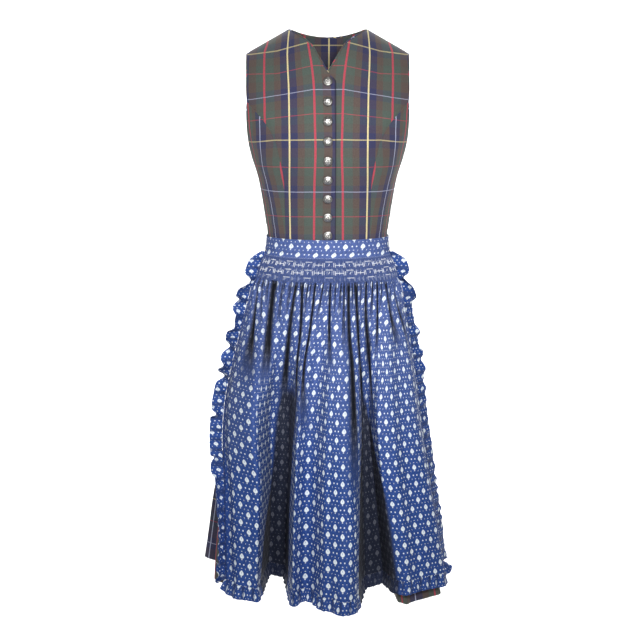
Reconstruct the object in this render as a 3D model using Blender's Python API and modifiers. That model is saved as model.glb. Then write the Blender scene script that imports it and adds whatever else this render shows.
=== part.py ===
"""Dirndl dress with a smocked and gathered apron, filled out as if worn.

Metres, +Z up, front towards -Y, wearer's left towards +X. The origin is midway between the two
points where the shoulder seams meet the neck, where the wearer's shoulders carry the dress.
"""

import math

import bmesh
import bpy
import numpy as np
from mathutils import Vector

for old in list(bpy.data.objects):
    bpy.data.objects.remove(old, do_unlink=True)
PARTS = bpy.data.collections.new("dirndl_dress")
bpy.context.scene.collection.children.link(PARTS)


# ---------------------------------------------------------------- driving sizes
SEAM_GAP = 0.0003
BODICE_WALL = 0.0020
SKIRT_WALL = 0.0016
APRON_WALL = 0.0013

NECK_HALF = 0.078  # neck point to centre
NECK_FRONT = -0.081  # bottom of the V
NECK_BACK = -0.017
SHOULDER_HALF = 0.158
SHOULDER_DROP = 0.045
SHOULDER_Y = 0.005
SHOULDER_ROUND = 0.150  # height over which the shoulder rolls over to the chest
SHOULDER_CURVE = 1.7  # power of that curve: 1 is straight, 2 an ellipse
UNDERARM_Z = -0.2465
SIDE_ANGLE = 96.0  # side seam, degrees round from centre front
WAIST_Z = -0.415
LAP_EDGE = 0.016  # the lap's edge, past the centre line
UNDER_LAP_EDGE = 0.014
UNDER_LAP_DEPTH = BODICE_WALL + 0.0005
UNDER_LAP_END = 0.028  # where the under front starts to rise to the other's level
UNDER_LAP_RISE = 0.014

PIPING_RADIUS = 0.0013
PIPING_SEAT = 0.0003

BUTTONS = 9
BUTTON_TOP_Z = -0.0986
BUTTON_PITCH = 0.0372
BUTTON_RADIUS = 0.009
BUTTON_SIDES = 12

SKIRT_TOP_Z = WAIST_Z - SEAM_GAP
SKIRT_HEM_Z = -1.088
BAND_TOP_Z = -0.405
SMOCK_TOP_Z = -0.431
SMOCK_FOOT_Z = -0.485
APRON_HEM_Z = -1.070
APRON_LIFT = 0.020  # how much higher the apron hangs towards the wearer's left
SKIRT_DIP = 0.012  # and how much lower the skirt hangs under it there
RUFFLE_WIDTH = 0.026
HEM_RUFFLE = 0.026
HEM_RUFFLE_END = 0.10  # share of its length, at each end, in which it flares out more
RUFFLE_REACH = 0.0075  # half the height of a ruffle's waves
APRON_GATHERS = 15
SKIRT_GATHERS = 24  # across the back
GATHER_HEIGHT = 0.0045
GATHER_START = 0.025  # share of the fall in which the gathers rise to full height
GATHER_END = 0.55  # and at which they have run out


def table(columns, *rows):
    """A short table: the named columns, each as an array."""
    return dict(zip(columns.split(), np.array(rows, float).T))


# Sections of the body form, waist to shoulder
TORSO = table(
    "z half front back square",
    (-0.4150, 0.1205, 0.079, 0.084, 2.00),
    (-0.4050, 0.1200, 0.079, 0.084, 2.00),
    (-0.3700, 0.1245, 0.086, 0.086, 2.05),
    (-0.3270, 0.1310, 0.098, 0.091, 2.12),
    (-0.2870, 0.1385, 0.112, 0.096, 2.15),
    (-0.2465, 0.1510, 0.124, 0.102, 2.20),
    (-0.2190, 0.1600, 0.126, 0.105, 2.30),
    (-0.1930, 0.1680, 0.124, 0.107, 2.38),
    (-0.1550, 0.1780, 0.117, 0.107, 2.48),
    (-0.1000, 0.1870, 0.106, 0.103, 2.50),
    (-0.0450, 0.1900, 0.098, 0.098, 2.50),
    (0.0200, 0.1900, 0.094, 0.095, 2.50),
)

# Seams and edges of the bodice: distance from the centre at each height
STATIONS = table(
    "z front_seam back_seam edge",
    (-0.4150, 0.0835, 0.0460, 0.0),
    (-0.3700, 0.0838, 0.0510, 0.0),
    (-0.3270, 0.0842, 0.0580, 0.0),
    (-0.2870, 0.0855, 0.0670, 0.0),
    (-0.2465, 0.0925, 0.0790, 0.0),
    (-0.2420, 0.0935, 0.0807, 0.1510),
    (-0.2325, 0.0956, 0.0842, 0.1525),
    (-0.2190, 0.0985, 0.0890, 0.1545),
    (-0.1930, 0.1100, 0.1020, 0.1565),
    (-0.1710, 0.1255, 0.1180, 0.1570),
    (-0.1550, 0.1400, 0.1350, 0.1570),
    (-0.1395, 0.1550, 0.1550, 0.1570),
)
UNDERARM_ROW = 4
# Rows of the front above the seam: neck edge (across, z) and armhole edge (across, z)
UPPER_FRONT = table(
    "neck_x neck_z arm_x arm_z",
    (0.0000, -0.1000, 0.1570, -0.1100),
    (0.0000, NECK_FRONT, 0.1570, -0.0930),
    (0.0175, -0.0540, 0.1573, -0.0790),
    (0.0350, -0.0270, 0.1576, -0.0660),
    (0.0560, -0.0120, 0.1578, -0.0545),
    (NECK_HALF, 0.0000, SHOULDER_HALF, -SHOULDER_DROP),
)
UPPER_BACK_SHARE = (0.30, 0.55, 0.75, 0.90, 1.0)

# Sections of the cloth line of skirt and apron, without folds
SKIRT = table(
    "z right left front back",
    (-0.4050, 0.1234, 0.1234, 0.0826, 0.0866),
    (-0.4150, 0.1230, 0.1230, 0.0814, 0.0862),
    (-0.4310, 0.1260, 0.1260, 0.0840, 0.0890),
    (-0.4600, 0.1390, 0.1390, 0.097, 0.102),
    (-0.4850, 0.1480, 0.1460, 0.108, 0.114),
    (-0.5300, 0.1610, 0.1540, 0.128, 0.135),
    (-0.5800, 0.1740, 0.1625, 0.147, 0.152),
    (-0.6600, 0.1915, 0.1765, 0.172, 0.172),
    (-0.7500, 0.2080, 0.1900, 0.195, 0.190),
    (-0.8500, 0.2200, 0.2060, 0.217, 0.206),
    (-0.9500, 0.2395, 0.2230, 0.239, 0.220),
    (-1.0880, 0.2600, 0.2445, 0.262, 0.236),
)

# Folds: angle round from centre front, half their angle, depth at the hem and how flat they are
FOLDS = table(
    "angle half depth flat",
    (-23.6, 10.2, -0.172, 0.45),
    (22.6, 9.4, -0.112, 0.40),
    (8.5, 9.0, 0.032, 0.10),
    (-8.5, 8.0, -0.044, 0.0),
    (-47.0, 5.0, -0.010, 0.0),
    (-57.0, 5.0, -0.005, 0.0),
    (45.0, 6.0, -0.008, 0.0),
    (48.5, 19.0, 0.030, 0.40),
    (80.0, 7.0, -0.012, 0.0),
    (-81.0, 15.0, -0.046, 0.35),
    (-106.0, 10.0, 0.009, 0.1),
    (-120.0, 8.0, -0.034, 0.0),
    (-137.0, 7.0, -0.026, 0.0),
    (-156.0, 8.5, -0.040, 0.0),
    (-177.0, 7.0, -0.024, 0.0),
    (163.0, 8.5, -0.038, 0.0),
    (143.0, 7.5, -0.030, 0.0),
    (122.0, 8.5, -0.036, 0.0),
    (101.0, 7.0, -0.022, 0.0),
)
FOLD_GROWTH = 0.80  # power of the fall at which folds deepen
DEEP_FOLD = 0.012  # the skirt keeps all its columns where a fold is deeper than this

# Side edges of the apron: angle at each height
APRON_EDGE = table(
    "z right left",
    (-0.4850, -75.0, 75.0),
    (-0.5800, -76.0, 76.0),
    (-0.6600, -80.0, 76.0),
    (-0.7300, -84.0, 75.0),
    (-0.8000, -79.0, 74.0),
    (-0.8700, -67.0, 74.0),
    (-0.9200, -61.0, 73.0),
    (-1.0000, -55.0, 73.0),
    (-1.0880, -51.0, 73.0),
)
SKIRT_UNDER = 0.013  # the skirt lies this far inside the apron's cloth line
SKIRT_BESIDE = 0.0045
WAIST_UNDER = 0.0020  # and this far at the waist

# Side ruffles: how far each leans out from the cloth, in degrees, at each height
RUFFLE_LEAN = table(
    "z right left",
    (-0.4450, 60.0, 60.0),
    (-0.5000, 34.0, 34.0),
    (-0.6600, 36.0, 32.0),
    (-0.7300, 80.0, 22.0),
    (-0.8200, 75.0, 16.0),
    (-0.8700, 24.0, 14.0),
    (-1.0200, 16.0, 16.0),
    (-1.0880, 40.0, 66.0),
)


# ---------------------------------------------------------------- curves and walls
def smooth(tab, column, at, key="z"):
    """The column at a height, along a curve through the table's rows that never overshoots them."""
    x, y = tab[key], tab[column]
    if x[0] > x[-1]:
        x, y = x[::-1], y[::-1]
    step = np.diff(x)
    slope = np.diff(y) / step
    rate = np.zeros(len(x))
    rate[0], rate[-1] = slope[0], slope[-1]
    for i in range(1, len(x) - 1):
        if slope[i - 1] * slope[i] > 0:
            a = 2 * step[i] + step[i - 1]
            b = step[i] + 2 * step[i - 1]
            rate[i] = (a + b) / (a / slope[i - 1] + b / slope[i])
    at = np.clip(at, x[0], x[-1])
    i = np.clip(np.searchsorted(x, at) - 1, 0, len(x) - 2)
    t = (at - x[i]) / step[i]
    return (
        y[i] * (1 + 2 * t) * (1 - t) ** 2
        + rate[i] * step[i] * t * (1 - t) ** 2
        + y[i + 1] * t * t * (3 - 2 * t)
        - rate[i + 1] * step[i] * t * t * (1 - t)
    )


def ease(t):
    """0 to 1, starting and ending gently."""
    t = np.clip(t, 0.0, 1.0)
    return t * t * (3 - 2 * t)


def unit(v):
    return v / np.maximum(np.linalg.norm(v, axis=-1, keepdims=True), 1e-9)


def wall(name, outer, inner, finish):
    """One closed wall between two grids of points, outer and inner, each rows by columns by 3."""
    outer, inner = np.asarray(outer), np.asarray(inner)
    rows, columns = outer.shape[:2]
    count = rows * columns
    number = np.arange(count).reshape(rows, columns)
    spots = outer.reshape(-1, 3)
    faces = []
    for j in range(rows - 1):
        for i in range(columns - 1):
            a, b, c, d = number[j, i], number[j, i + 1], number[j + 1, i + 1], number[j + 1, i]
            if np.linalg.norm(spots[a] - spots[c]) > np.linalg.norm(spots[b] - spots[d]):
                a, b, c, d = b, c, d, a
            for p, q, r in ((a, b, c), (a, c, d)):  # both sides split alike, so that they never cross
                faces.append((p, q, r))
                faces.append((r + count, q + count, p + count))
    rim = [*number[0], *number[1:, -1], *number[-1, -2::-1], *number[-2:0:-1, 0]]
    for a, b in zip(rim, rim[1:] + rim[:1]):
        faces.append((b, a, a + count, b + count))
    bm = bmesh.new()
    corners = np.concatenate([outer.reshape(-1, 3), inner.reshape(-1, 3)])
    points = [bm.verts.new(corner) for corner in corners]
    for face in faces:
        bm.faces.new([points[k] for k in face])
    if bm.calc_volume(signed=True) < 0:
        bmesh.ops.reverse_faces(bm, faces=bm.faces)
    mesh = bpy.data.meshes.new(name)
    bm.to_mesh(mesh)
    bm.free()
    return add_piece(name, mesh, finish)


def add_piece(name, mesh, finish):
    """The mesh as a named object with its finish, shaded smooth."""
    piece = bpy.data.objects.new(name, mesh)
    PARTS.objects.link(piece)
    mesh.shade_smooth()
    mesh.set_sharp_from_angle(angle=math.radians(60))
    mesh.materials.append(finish)
    return piece


def material(name, colour, roughness, metallic=0.0):
    made = bpy.data.materials.new(name)
    made.use_nodes = True
    shader = made.node_tree.nodes["Principled BSDF"]
    shader.inputs["Base Color"].default_value = (*colour, 1.0)
    shader.inputs["Roughness"].default_value = roughness
    shader.inputs["Metallic"].default_value = metallic
    return made


# ---------------------------------------------------------------- bodice surface
def shoulder_line(x):
    """Height of the shoulder over a distance from the centre, rounded level between the neck points."""
    slope = SHOULDER_DROP / (SHOULDER_HALF - NECK_HALF)
    x = abs(x)
    if x < NECK_HALF:
        return 0.5 * slope * NECK_HALF * (1 - (x / NECK_HALF) ** 2)
    return -slope * (x - NECK_HALF)


def over_shoulder(x, y, z):
    """A point of the body form, drawn in towards the shoulder line where it is near it."""
    below = np.clip((shoulder_line(x) - z) / SHOULDER_ROUND, 0.0, 1.0)
    out = (1 - (1 - below) ** SHOULDER_CURVE) ** (1 / SHOULDER_CURVE)
    return np.array((x, SHOULDER_Y + (y - SHOULDER_Y) * out, z))


def torso_at_angle(angle, z):
    """A point of the body form at an angle round from centre front."""
    half = smooth(TORSO, "half", z)
    power = 2 / smooth(TORSO, "square", z)
    s, c = math.sin(math.radians(angle)), math.cos(math.radians(angle))
    depth = smooth(TORSO, "front" if c > 0 else "back", z)
    x = half * math.copysign(abs(s) ** power, s)
    y = -depth * math.copysign(abs(c) ** power, c)
    return over_shoulder(x, y, z)


def angle_of(x, z):
    """Angle from the centre line, 0 to 90, at which the body form is this wide."""
    share = min(1.0, abs(x) / smooth(TORSO, "half", z))
    return math.degrees(math.asin(share ** (smooth(TORSO, "square", z) / 2)))


def torso_at_x(x, z, back=False):
    """A point of the body form at a distance across, on its front or its back."""
    angle = math.copysign(angle_of(x, z), x)
    return torso_at_angle(180 - angle if back else angle, z)


def outward(at, a, z, step_a):
    """The wall's outward direction, from the surface function's slopes."""
    step_z = 0.0005
    if abs(at(a, z)[1] - SHOULDER_Y) < 1e-4:
        side = math.copysign(1.0, at(a, z)[0])
        slope = SHOULDER_DROP / (SHOULDER_HALF - NECK_HALF)
        return unit(np.array((side * slope, 0.0, 1.0)))
    across = at(a + step_a, z) - at(a - step_a, z)
    up = at(a, z + step_z) - at(a, z - step_z)
    normal = unit(np.cross(across, up))
    point = at(a, z)
    radial = np.array((point[0], point[1], 0.0))
    return normal if normal @ radial > 0 else -normal


def bodice_wall(name, rows, at, step, sunk=None, top_shift=0.0):
    """A panel of the bodice from rows of (place, height): its points, and the same moved in."""
    outer, inner = [], []
    for row in rows:
        outer.append([])
        inner.append([])
        for a, z in row:
            point, normal = at(a, z), outward(at, a, z, step)
            if sunk:
                point = point - normal * sunk(point)
            outer[-1].append(point)
            inner[-1].append(point - normal * BODICE_WALL)
    outer, inner = np.array(outer), np.array(inner)
    outer[-1, :, 1] += top_shift
    inner[-1, :, 1] += top_shift
    wall(name, outer, inner, PLAID)
    return outer, inner


# ---------------------------------------------------------------- finishes
PLAID = material("plaid_wool", (0.085, 0.085, 0.080), 0.85)
PIPING = material("plaid_bias", (0.035, 0.035, 0.055), 0.85)
PRINT = material("indigo_cotton", (0.030, 0.060, 0.230), 0.75)
METAL = material("antique_silver", (0.38, 0.37, 0.35), 0.38, 1.0)


# ---------------------------------------------------------------- bodice
SEAM_HALF = 0.0002  # half a seam's gap, with a little for seams that run aslant
CENTRE_ROWS = [j for j in range(len(STATIONS["z"])) if j not in (UNDERARM_ROW + 1, UNDERARM_ROW + 2)]


def spread(start, end, cells):
    """Evenly spaced values from start to end."""
    return [start + (end - start) * k / cells for k in range(cells + 1)]


def front_rows(side, overlap, cells=7):
    """Rows of one front, from the lap's edge to the princess seam and armhole, in x and z."""
    rows = []
    for j in CENTRE_ROWS:
        z, seam = STATIONS["z"][j], STATIONS["front_seam"][j]
        rows.append([(side * x, z) for x in spread(-overlap, seam - SEAM_HALF, cells)])
    upper = zip(*(UPPER_FRONT[key] for key in ("neck_x", "neck_z", "arm_x", "arm_z")))
    for k, (neck_x, neck_z, arm_x, arm_z) in enumerate(upper):
        across = spread(-overlap if k == 0 else neck_x, arm_x, cells)
        rows.append([(side * x, z) for x, z in zip(across, spread(neck_z, arm_z, cells))])
    return rows


def under_lap(side):
    """How far the under front lies behind the lap: all of it beside the centre, none farther out."""

    def sunk(point):
        beside = 1 - ease((side * point[0] - UNDER_LAP_END) / UNDER_LAP_RISE)
        below_v = ease((NECK_FRONT + 0.030 - point[2]) / 0.025)
        return UNDER_LAP_DEPTH * beside * below_v

    return sunk


def side_rows(side, front, cells):
    """Rows of a side panel, from its princess seam to the side seam and armhole, in angle and z."""
    rows = []
    for j, z in enumerate(STATIONS["z"]):
        seam = angle_of(STATIONS["front_seam" if front else "back_seam"][j] + SEAM_HALF, z)
        gap = math.degrees(SEAM_HALF / smooth(TORSO, "front", z))
        if j <= UNDERARM_ROW:
            edge = SIDE_ANGLE - gap if front else 180 - SIDE_ANGLE - gap
        else:
            edge = angle_of(STATIONS["edge"][j], z)
        row = spread(seam, edge, cells)
        rows.append([(side * (a if front else 180 - a), z) for a in row])
    return rows


def back_rows(shoulder_cells=5, neck_cells=8):
    """Rows of the back, from one princess seam and armhole to the other, in x and z."""
    shoulder = spread(NECK_HALF, SHOULDER_HALF, shoulder_cells)
    top = [-x for x in reversed(shoulder)] + spread(-NECK_HALF, NECK_HALF, neck_cells)[1:-1] + shoulder
    share = [x / SHOULDER_HALF for x in top]
    rows = []
    for j in CENTRE_ROWS:
        z, seam = STATIONS["z"][j], STATIONS["back_seam"][j] - SEAM_HALF
        rows.append([(seam * f, z) for f in share])
    start_z, edge_x = STATIONS["z"][-1], STATIONS["edge"][-1]
    for v in UPPER_BACK_SHARE:
        row = []
        for x_top, f in zip(top, share):
            inside = max(0.0, 1 - (x_top / NECK_HALF) ** 2)
            z_top = NECK_BACK * inside if inside else shoulder_line(x_top)
            row.append(((edge_x + (SHOULDER_HALF - edge_x) * v) * f, start_z + (z_top - start_z) * v))
        rows.append(row)
    return rows


def make_bodice():
    """All bodice panels; returns each one's outer and inner grids of points."""
    grids = {}
    sides = ((-1, "right", LAP_EDGE, None), (1, "left", UNDER_LAP_EDGE, under_lap(1)))
    for side, word, overlap, sunk in sides:
        fronts = front_rows(side, overlap)
        grids[f"front_{word}"] = bodice_wall(
            f"bodice_front_{word}", fronts, torso_at_x, 0.0005, sunk, -SEAM_GAP / 2
        )
        grids[f"side_front_{word}"] = bodice_wall(
            f"bodice_side_front_{word}", side_rows(side, True, 5), torso_at_angle, 0.3
        )
        grids[f"side_back_{word}"] = bodice_wall(
            f"bodice_side_back_{word}", side_rows(side, False, 5), torso_at_angle, 0.3
        )

    def back_at(x, z):
        return torso_at_x(x, z, back=True)

    grids["back"] = bodice_wall("bodice_back", back_rows(), back_at, 0.0005, None, SEAM_GAP / 2)
    return grids


GRIDS = make_bodice()


def edge_of(name, rows, column):
    """Points of a panel's edge, and the panel's outward direction at each."""
    outer, inner = GRIDS[name]
    return list(outer[rows, column]), list(unit(outer[rows, column] - inner[rows, column]))


def piping(name, edges, hole, cyclic):
    """A corded strip along edges that follow on from each other, on the side towards the hole."""
    points, normals = [], []
    for edge_points, edge_normals in edges:
        for point, normal in zip(edge_points, edge_normals):
            if not points or np.linalg.norm(point - points[-1]) > 0.002:
                points.append(point)
                normals.append(normal)
    points, normals = np.array(points), np.array(normals)
    if cyclic:
        along = unit(np.roll(points, -1, axis=0) - np.roll(points, 1, axis=0))
    else:
        along = unit(np.gradient(points, axis=0))
    beside = unit(np.cross(along, normals))
    beside *= np.sign(((np.array(hole) - points) * beside).sum(axis=1))[:, None]
    middle = points - normals * BODICE_WALL / 2 + beside * (PIPING_RADIUS + PIPING_SEAT)
    curve = bpy.data.curves.new(name, "CURVE")
    curve.dimensions = "3D"
    curve.bevel_depth = PIPING_RADIUS
    curve.bevel_resolution = 1
    curve.use_fill_caps = True
    spline = curve.splines.new("POLY")
    spline.points.add(len(middle) - 1)
    spline.points.foreach_set("co", np.append(middle, np.ones((len(middle), 1)), axis=1).ravel())
    spline.use_cyclic_u = cyclic
    curve.materials.append(PIPING)
    PARTS.objects.link(bpy.data.objects.new(name, curve))


def make_piping():
    """Same-cloth piping round each armhole and round the whole neck."""
    seam_row = len(CENTRE_ROWS) - 1
    up, down = slice(UNDERARM_ROW, None), slice(None, UNDERARM_ROW - 1, -1)
    for side, word, back_column in ((-1, "right", 0), (1, "left", -1)):
        edges = [
            edge_of(f"side_front_{word}", up, -1),
            edge_of(f"front_{word}", slice(seam_row + 1, None), -1),
            edge_of("back", slice(None, seam_row, -1), back_column),
            edge_of(f"side_back_{word}", down, -1),
        ]
        piping(f"piping_armhole_{word}", edges, (side * SHOULDER_HALF, 0.0, -0.140), True)
    v_row = seam_row + 2
    neck = np.flatnonzero(np.abs(GRIDS["back"][0][-1, :, 0]) < NECK_HALF - 0.001)
    edges = [
        edge_of("front_right", slice(v_row, None), 0),
        edge_of("back", -1, slice(neck[0], neck[-1] + 1)),
        edge_of("front_left", slice(None, v_row - 1, -1), 0),
    ]
    piping("piping_neck", edges, (0.0, -0.03, 0.040), False)


make_piping()


# ---------------------------------------------------------------- skirt and apron cloth line
def fold_depth(angle):
    """How far the folds push the hem out (+) or in (-) at an angle."""
    total = 0.0
    for at, half, depth, flat in zip(*(FOLDS[key] for key in ("angle", "half", "depth", "flat"))):
        away = abs((angle - at + 180) % 360 - 180) / half
        total += depth * (1 - ease((away - flat) / (1 - flat)))
    return total


def fall(z):
    """Share of the way down from the smocking's foot to the skirt's hem."""
    return np.clip((SMOCK_FOOT_Z - z) / (SMOCK_FOOT_Z - SKIRT_HEM_Z), 0.0, 1.0)


def cloth_point(angle, z, out):
    """A point on the cloth line at an angle round and a height, pushed out from the plain section."""
    s, c = math.sin(math.radians(angle)), math.cos(math.radians(angle))
    half = smooth(SKIRT, "left" if s > 0 else "right", z)
    depth = smooth(SKIRT, "front" if c > 0 else "back", z)
    normal = unit(np.array((s / half, -c / depth)))
    turned = ease((abs((angle + 180) % 360 - 180) - 35) / 30)  # folds at the front run straight back
    normal = unit(normal * turned + np.array((0.0, -1.0)) * (1 - turned))
    return np.array((*(np.array((half * s, -depth * c)) + normal * out), z))


def along_hem(start, end):
    """Angles, and the share of the folded hem's length that lies before each."""
    angles = np.linspace(start, end, 721)
    hem = np.array([cloth_point(a, SKIRT_HEM_Z, fold_depth(a)) for a in angles])
    length = np.concatenate([[0.0], np.cumsum(np.linalg.norm(np.diff(hem, axis=0), axis=1))])
    return angles, length / length[-1]


FRONT_ANGLES, FRONT_SHARES = along_hem(-SIDE_ANGLE, SIDE_ANGLE)
BACK_ANGLES, BACK_SHARES = along_hem(SIDE_ANGLE, 360 - SIDE_ANGLE)
EDGE_SHARES = np.interp((APRON_EDGE["right"][-1], APRON_EDGE["left"][-1]), FRONT_ANGLES, FRONT_SHARES)


def front_angle(share, z):
    """Angle of a thread of the front at a height: spread evenly in the gathers, as folded at the hem."""
    hem = np.interp(share, FRONT_SHARES, FRONT_ANGLES)
    right, left = smooth(APRON_EDGE, "right", z), smooth(APRON_EDGE, "left", z)
    hem_right, hem_left = APRON_EDGE["right"][-1], APRON_EDGE["left"][-1]
    if share < EDGE_SHARES[0]:
        return -SIDE_ANGLE + (right + SIDE_ANGLE) * share / EDGE_SHARES[0]
    if share > EDGE_SHARES[1]:
        return left + (SIDE_ANGLE - left) * (share - EDGE_SHARES[1]) / (1 - EDGE_SHARES[1])
    settled = 1 - (1 - fall(z)) ** 3
    even = (share - EDGE_SHARES[0]) / (EDGE_SHARES[1] - EDGE_SHARES[0])
    folded = (hem - hem_right) / (hem_left - hem_right)
    across = even + (folded - even) * settled
    middle = hem_right + (hem_left - hem_right) * across
    near_right, near_left = 1 - ease(across / 0.25), ease((across - 0.75) / 0.25)
    return middle + (right - hem_right) * near_right + (left - hem_left) * near_left


def gather_height(z, tall):
    """Height of the gathers' waves below the seam that holds them."""
    t = fall(z)
    return tall * ease(t / GATHER_START) * (1 - ease(t / GATHER_END))


def front_line(shares, z, tall=GATHER_HEIGHT, lift=0.0):
    """Points of the front's cloth line at a height; lift raises its wearer's left part as it falls."""
    points = []
    for share in shares:
        hem_angle = np.interp(share, FRONT_SHARES, FRONT_ANGLES)
        even = (share - EDGE_SHARES[0]) / (EDGE_SHARES[1] - EDGE_SHARES[0])
        inside = EDGE_SHARES[0] - 1e-9 <= share <= EDGE_SHARES[1] + 1e-9
        wave = gather_height(z, tall) * math.cos(2 * math.pi * APRON_GATHERS * even) if inside else 0.0
        wave *= ease(min(even, 1 - even) / 0.07)
        out = fold_depth(hem_angle) * fall(z) ** FOLD_GROWTH + wave
        points.append(cloth_point(front_angle(share, z), z, out))
        points[-1][2] += lift * fall(z) * ease((even - 0.66) / 0.16) * (1 - ease((even - 1.0) / 0.15))
    return np.array(points)


def back_line(shares, z, tall=0.006):
    """Points of the back's cloth line at a height, from the wearer's left side seam to the right."""
    points = []
    for share in shares:
        hem_angle = np.interp(share, BACK_SHARES, BACK_ANGLES)
        even = SIDE_ANGLE + (360 - 2 * SIDE_ANGLE) * share
        angle = even + (hem_angle - even) * (1 - (1 - fall(z)) ** 3)
        wave = gather_height(z, tall) * math.sin(math.pi * SKIRT_GATHERS * share) ** 2
        points.append(cloth_point(angle, z, fold_depth(hem_angle) * fall(z) ** FOLD_GROWTH - wave))
    return np.array(points)


def out_of_line(points):
    """Level outward direction at each point of a line that runs round from the wearer's right."""
    run = np.gradient(points[:, :2], axis=0)
    normal = unit(np.stack([run[:, 1], -run[:, 0]], axis=1))
    return np.concatenate([normal, np.zeros((len(points), 1))], axis=1)


def out_of_ring(points):
    """The same at each point of a closed line."""
    run = np.roll(points, -1, axis=0) - np.roll(points, 1, axis=0)
    normal = unit(np.stack([run[:, 1], -run[:, 0]], axis=1))
    return np.concatenate([normal, np.zeros((len(points), 1))], axis=1)


def cloth_wall(name, lines, thick, finish, relief=None):
    """A wall whose outer side runs through the lines; relief stands proud of a plain inside."""
    outer, inner = [], []
    for j, line in enumerate(lines):
        normal = out_of_line(line)
        raised = relief[j][:, None] if relief is not None else 0.0
        outer.append(line + normal * raised)
        inner.append(line - normal * thick)
    wall(name, outer, inner, finish)
    return np.array(outer), np.array(inner)


def under_depth(share, z):
    """How far the skirt lies inside the cloth line: close at the waist, more under the apron."""
    inside = min(share - EDGE_SHARES[0], EDGE_SHARES[1] - share)
    beside = ease((inside + 0.01) / 0.05)
    loose = SKIRT_BESIDE + (SKIRT_UNDER - SKIRT_BESIDE) * beside
    return WAIST_UNDER + (loose - WAIST_UNDER) * ease((SMOCK_TOP_Z - z) / 0.085)


# ---------------------------------------------------------------- skirt
SKIRT_ROWS = (
    SKIRT_TOP_Z, -0.431, -0.450, SMOCK_FOOT_Z - SEAM_GAP,
    -0.535, -0.620, -0.700, -0.800, -0.900, -1.000, SKIRT_HEM_Z,
)
APRON_SHARES = np.linspace(EDGE_SHARES[0], EDGE_SHARES[1], 4 * APRON_GATHERS + 1)


def make_skirt(beside_cells=(5, 4)):
    """Front and back from side seam to side seam, the front inside the apron's cloth line."""
    fine = np.concatenate(
        [
            np.linspace(0.0, EDGE_SHARES[0], beside_cells[0] + 1)[:-1],
            APRON_SHARES,
            np.linspace(EDGE_SHARES[1], 1.0, beside_cells[1] + 1)[1:],
        ]
    )
    back_cells = 2 * SKIRT_GATHERS
    behind = np.linspace(0.0, 1.0, back_cells + 1)
    kept = [
        k
        for k, share in enumerate(fine)
        if k % 2 == beside_cells[0] % 2
        or fold_depth(np.interp(share, FRONT_SHARES, FRONT_ANGLES)) < -DEEP_FOLD
        or not EDGE_SHARES[0] < share < EDGE_SHARES[1]
    ]
    walls = {"skirt_front": ([], []), "skirt_back": ([], [])}
    for z in SKIRT_ROWS:
        front = front_line(fine, z, tall=0.0, lift=-SKIRT_DIP)
        back = back_line(behind, z)
        ring = np.concatenate([front[:-1], back[:-1]])
        inward = [under_depth(share, z) for share in fine[:-1]] + [under_depth(0.0, z)] * back_cells
        normal = out_of_ring(ring)
        outer = ring - normal * np.array(inward)[:, None]
        inner = outer - normal * SKIRT_WALL
        for grid, line in enumerate((outer, inner)):
            front = line[: len(fine)] - (0.0, SEAM_GAP / 2, 0.0)
            back = np.concatenate([line[len(fine) - 1 :], line[:1]]) + (0.0, SEAM_GAP / 2, 0.0)
            walls["skirt_front"][grid].append(front[kept])
            walls["skirt_back"][grid].append(back)
    for name, (outer, inner) in walls.items():
        wall(name, outer, inner, PLAID)


make_skirt()


# ---------------------------------------------------------------- apron
BAND_CELLS = 24
SMOCK_ROWS = table(  # height, and how proud the pleats stand there
    "z proud",
    (SMOCK_TOP_Z - SEAM_GAP, 0.0004),
    (-0.4500, 0.0005),
    (-0.4595, 0.0018),
    (-0.4690, 0.0005),
    (SMOCK_FOOT_Z, 0.0018),
)
APRON_ROWS = (
    SMOCK_FOOT_Z - SEAM_GAP, -0.494, -0.510, -0.535, -0.570, -0.620,
    -0.700, -0.800, -0.900, -1.000, APRON_HEM_Z,
)


def make_apron():
    """Waistband, smocked part with its pleats raised outside, and the gathered panel."""
    band_shares = np.linspace(EDGE_SHARES[0], EDGE_SHARES[1], BAND_CELLS + 1)
    band = [front_line(band_shares, z, tall=0.0) for z in (BAND_TOP_Z, SMOCK_TOP_Z)]
    cloth_wall("apron_waistband", band, APRON_WALL, PRINT)
    pleat = np.arange(len(APRON_SHARES)) % 2
    smocked = [front_line(APRON_SHARES, z, tall=0.0) for z in SMOCK_ROWS["z"]]
    relief = [pleat * proud for proud in SMOCK_ROWS["proud"]]
    smock_edges = cloth_wall("apron_smocking", smocked, APRON_WALL, PRINT, relief)[0]
    panel = [front_line(APRON_SHARES, z, lift=APRON_LIFT) for z in APRON_ROWS]
    return smock_edges, cloth_wall("apron_panel", panel, APRON_WALL, PRINT)[0]


SMOCK_OUTER, APRON_OUTER = make_apron()


def level(v):
    """The direction's level part."""
    return unit(np.array((v[0], v[1], 0.0)))


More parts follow.
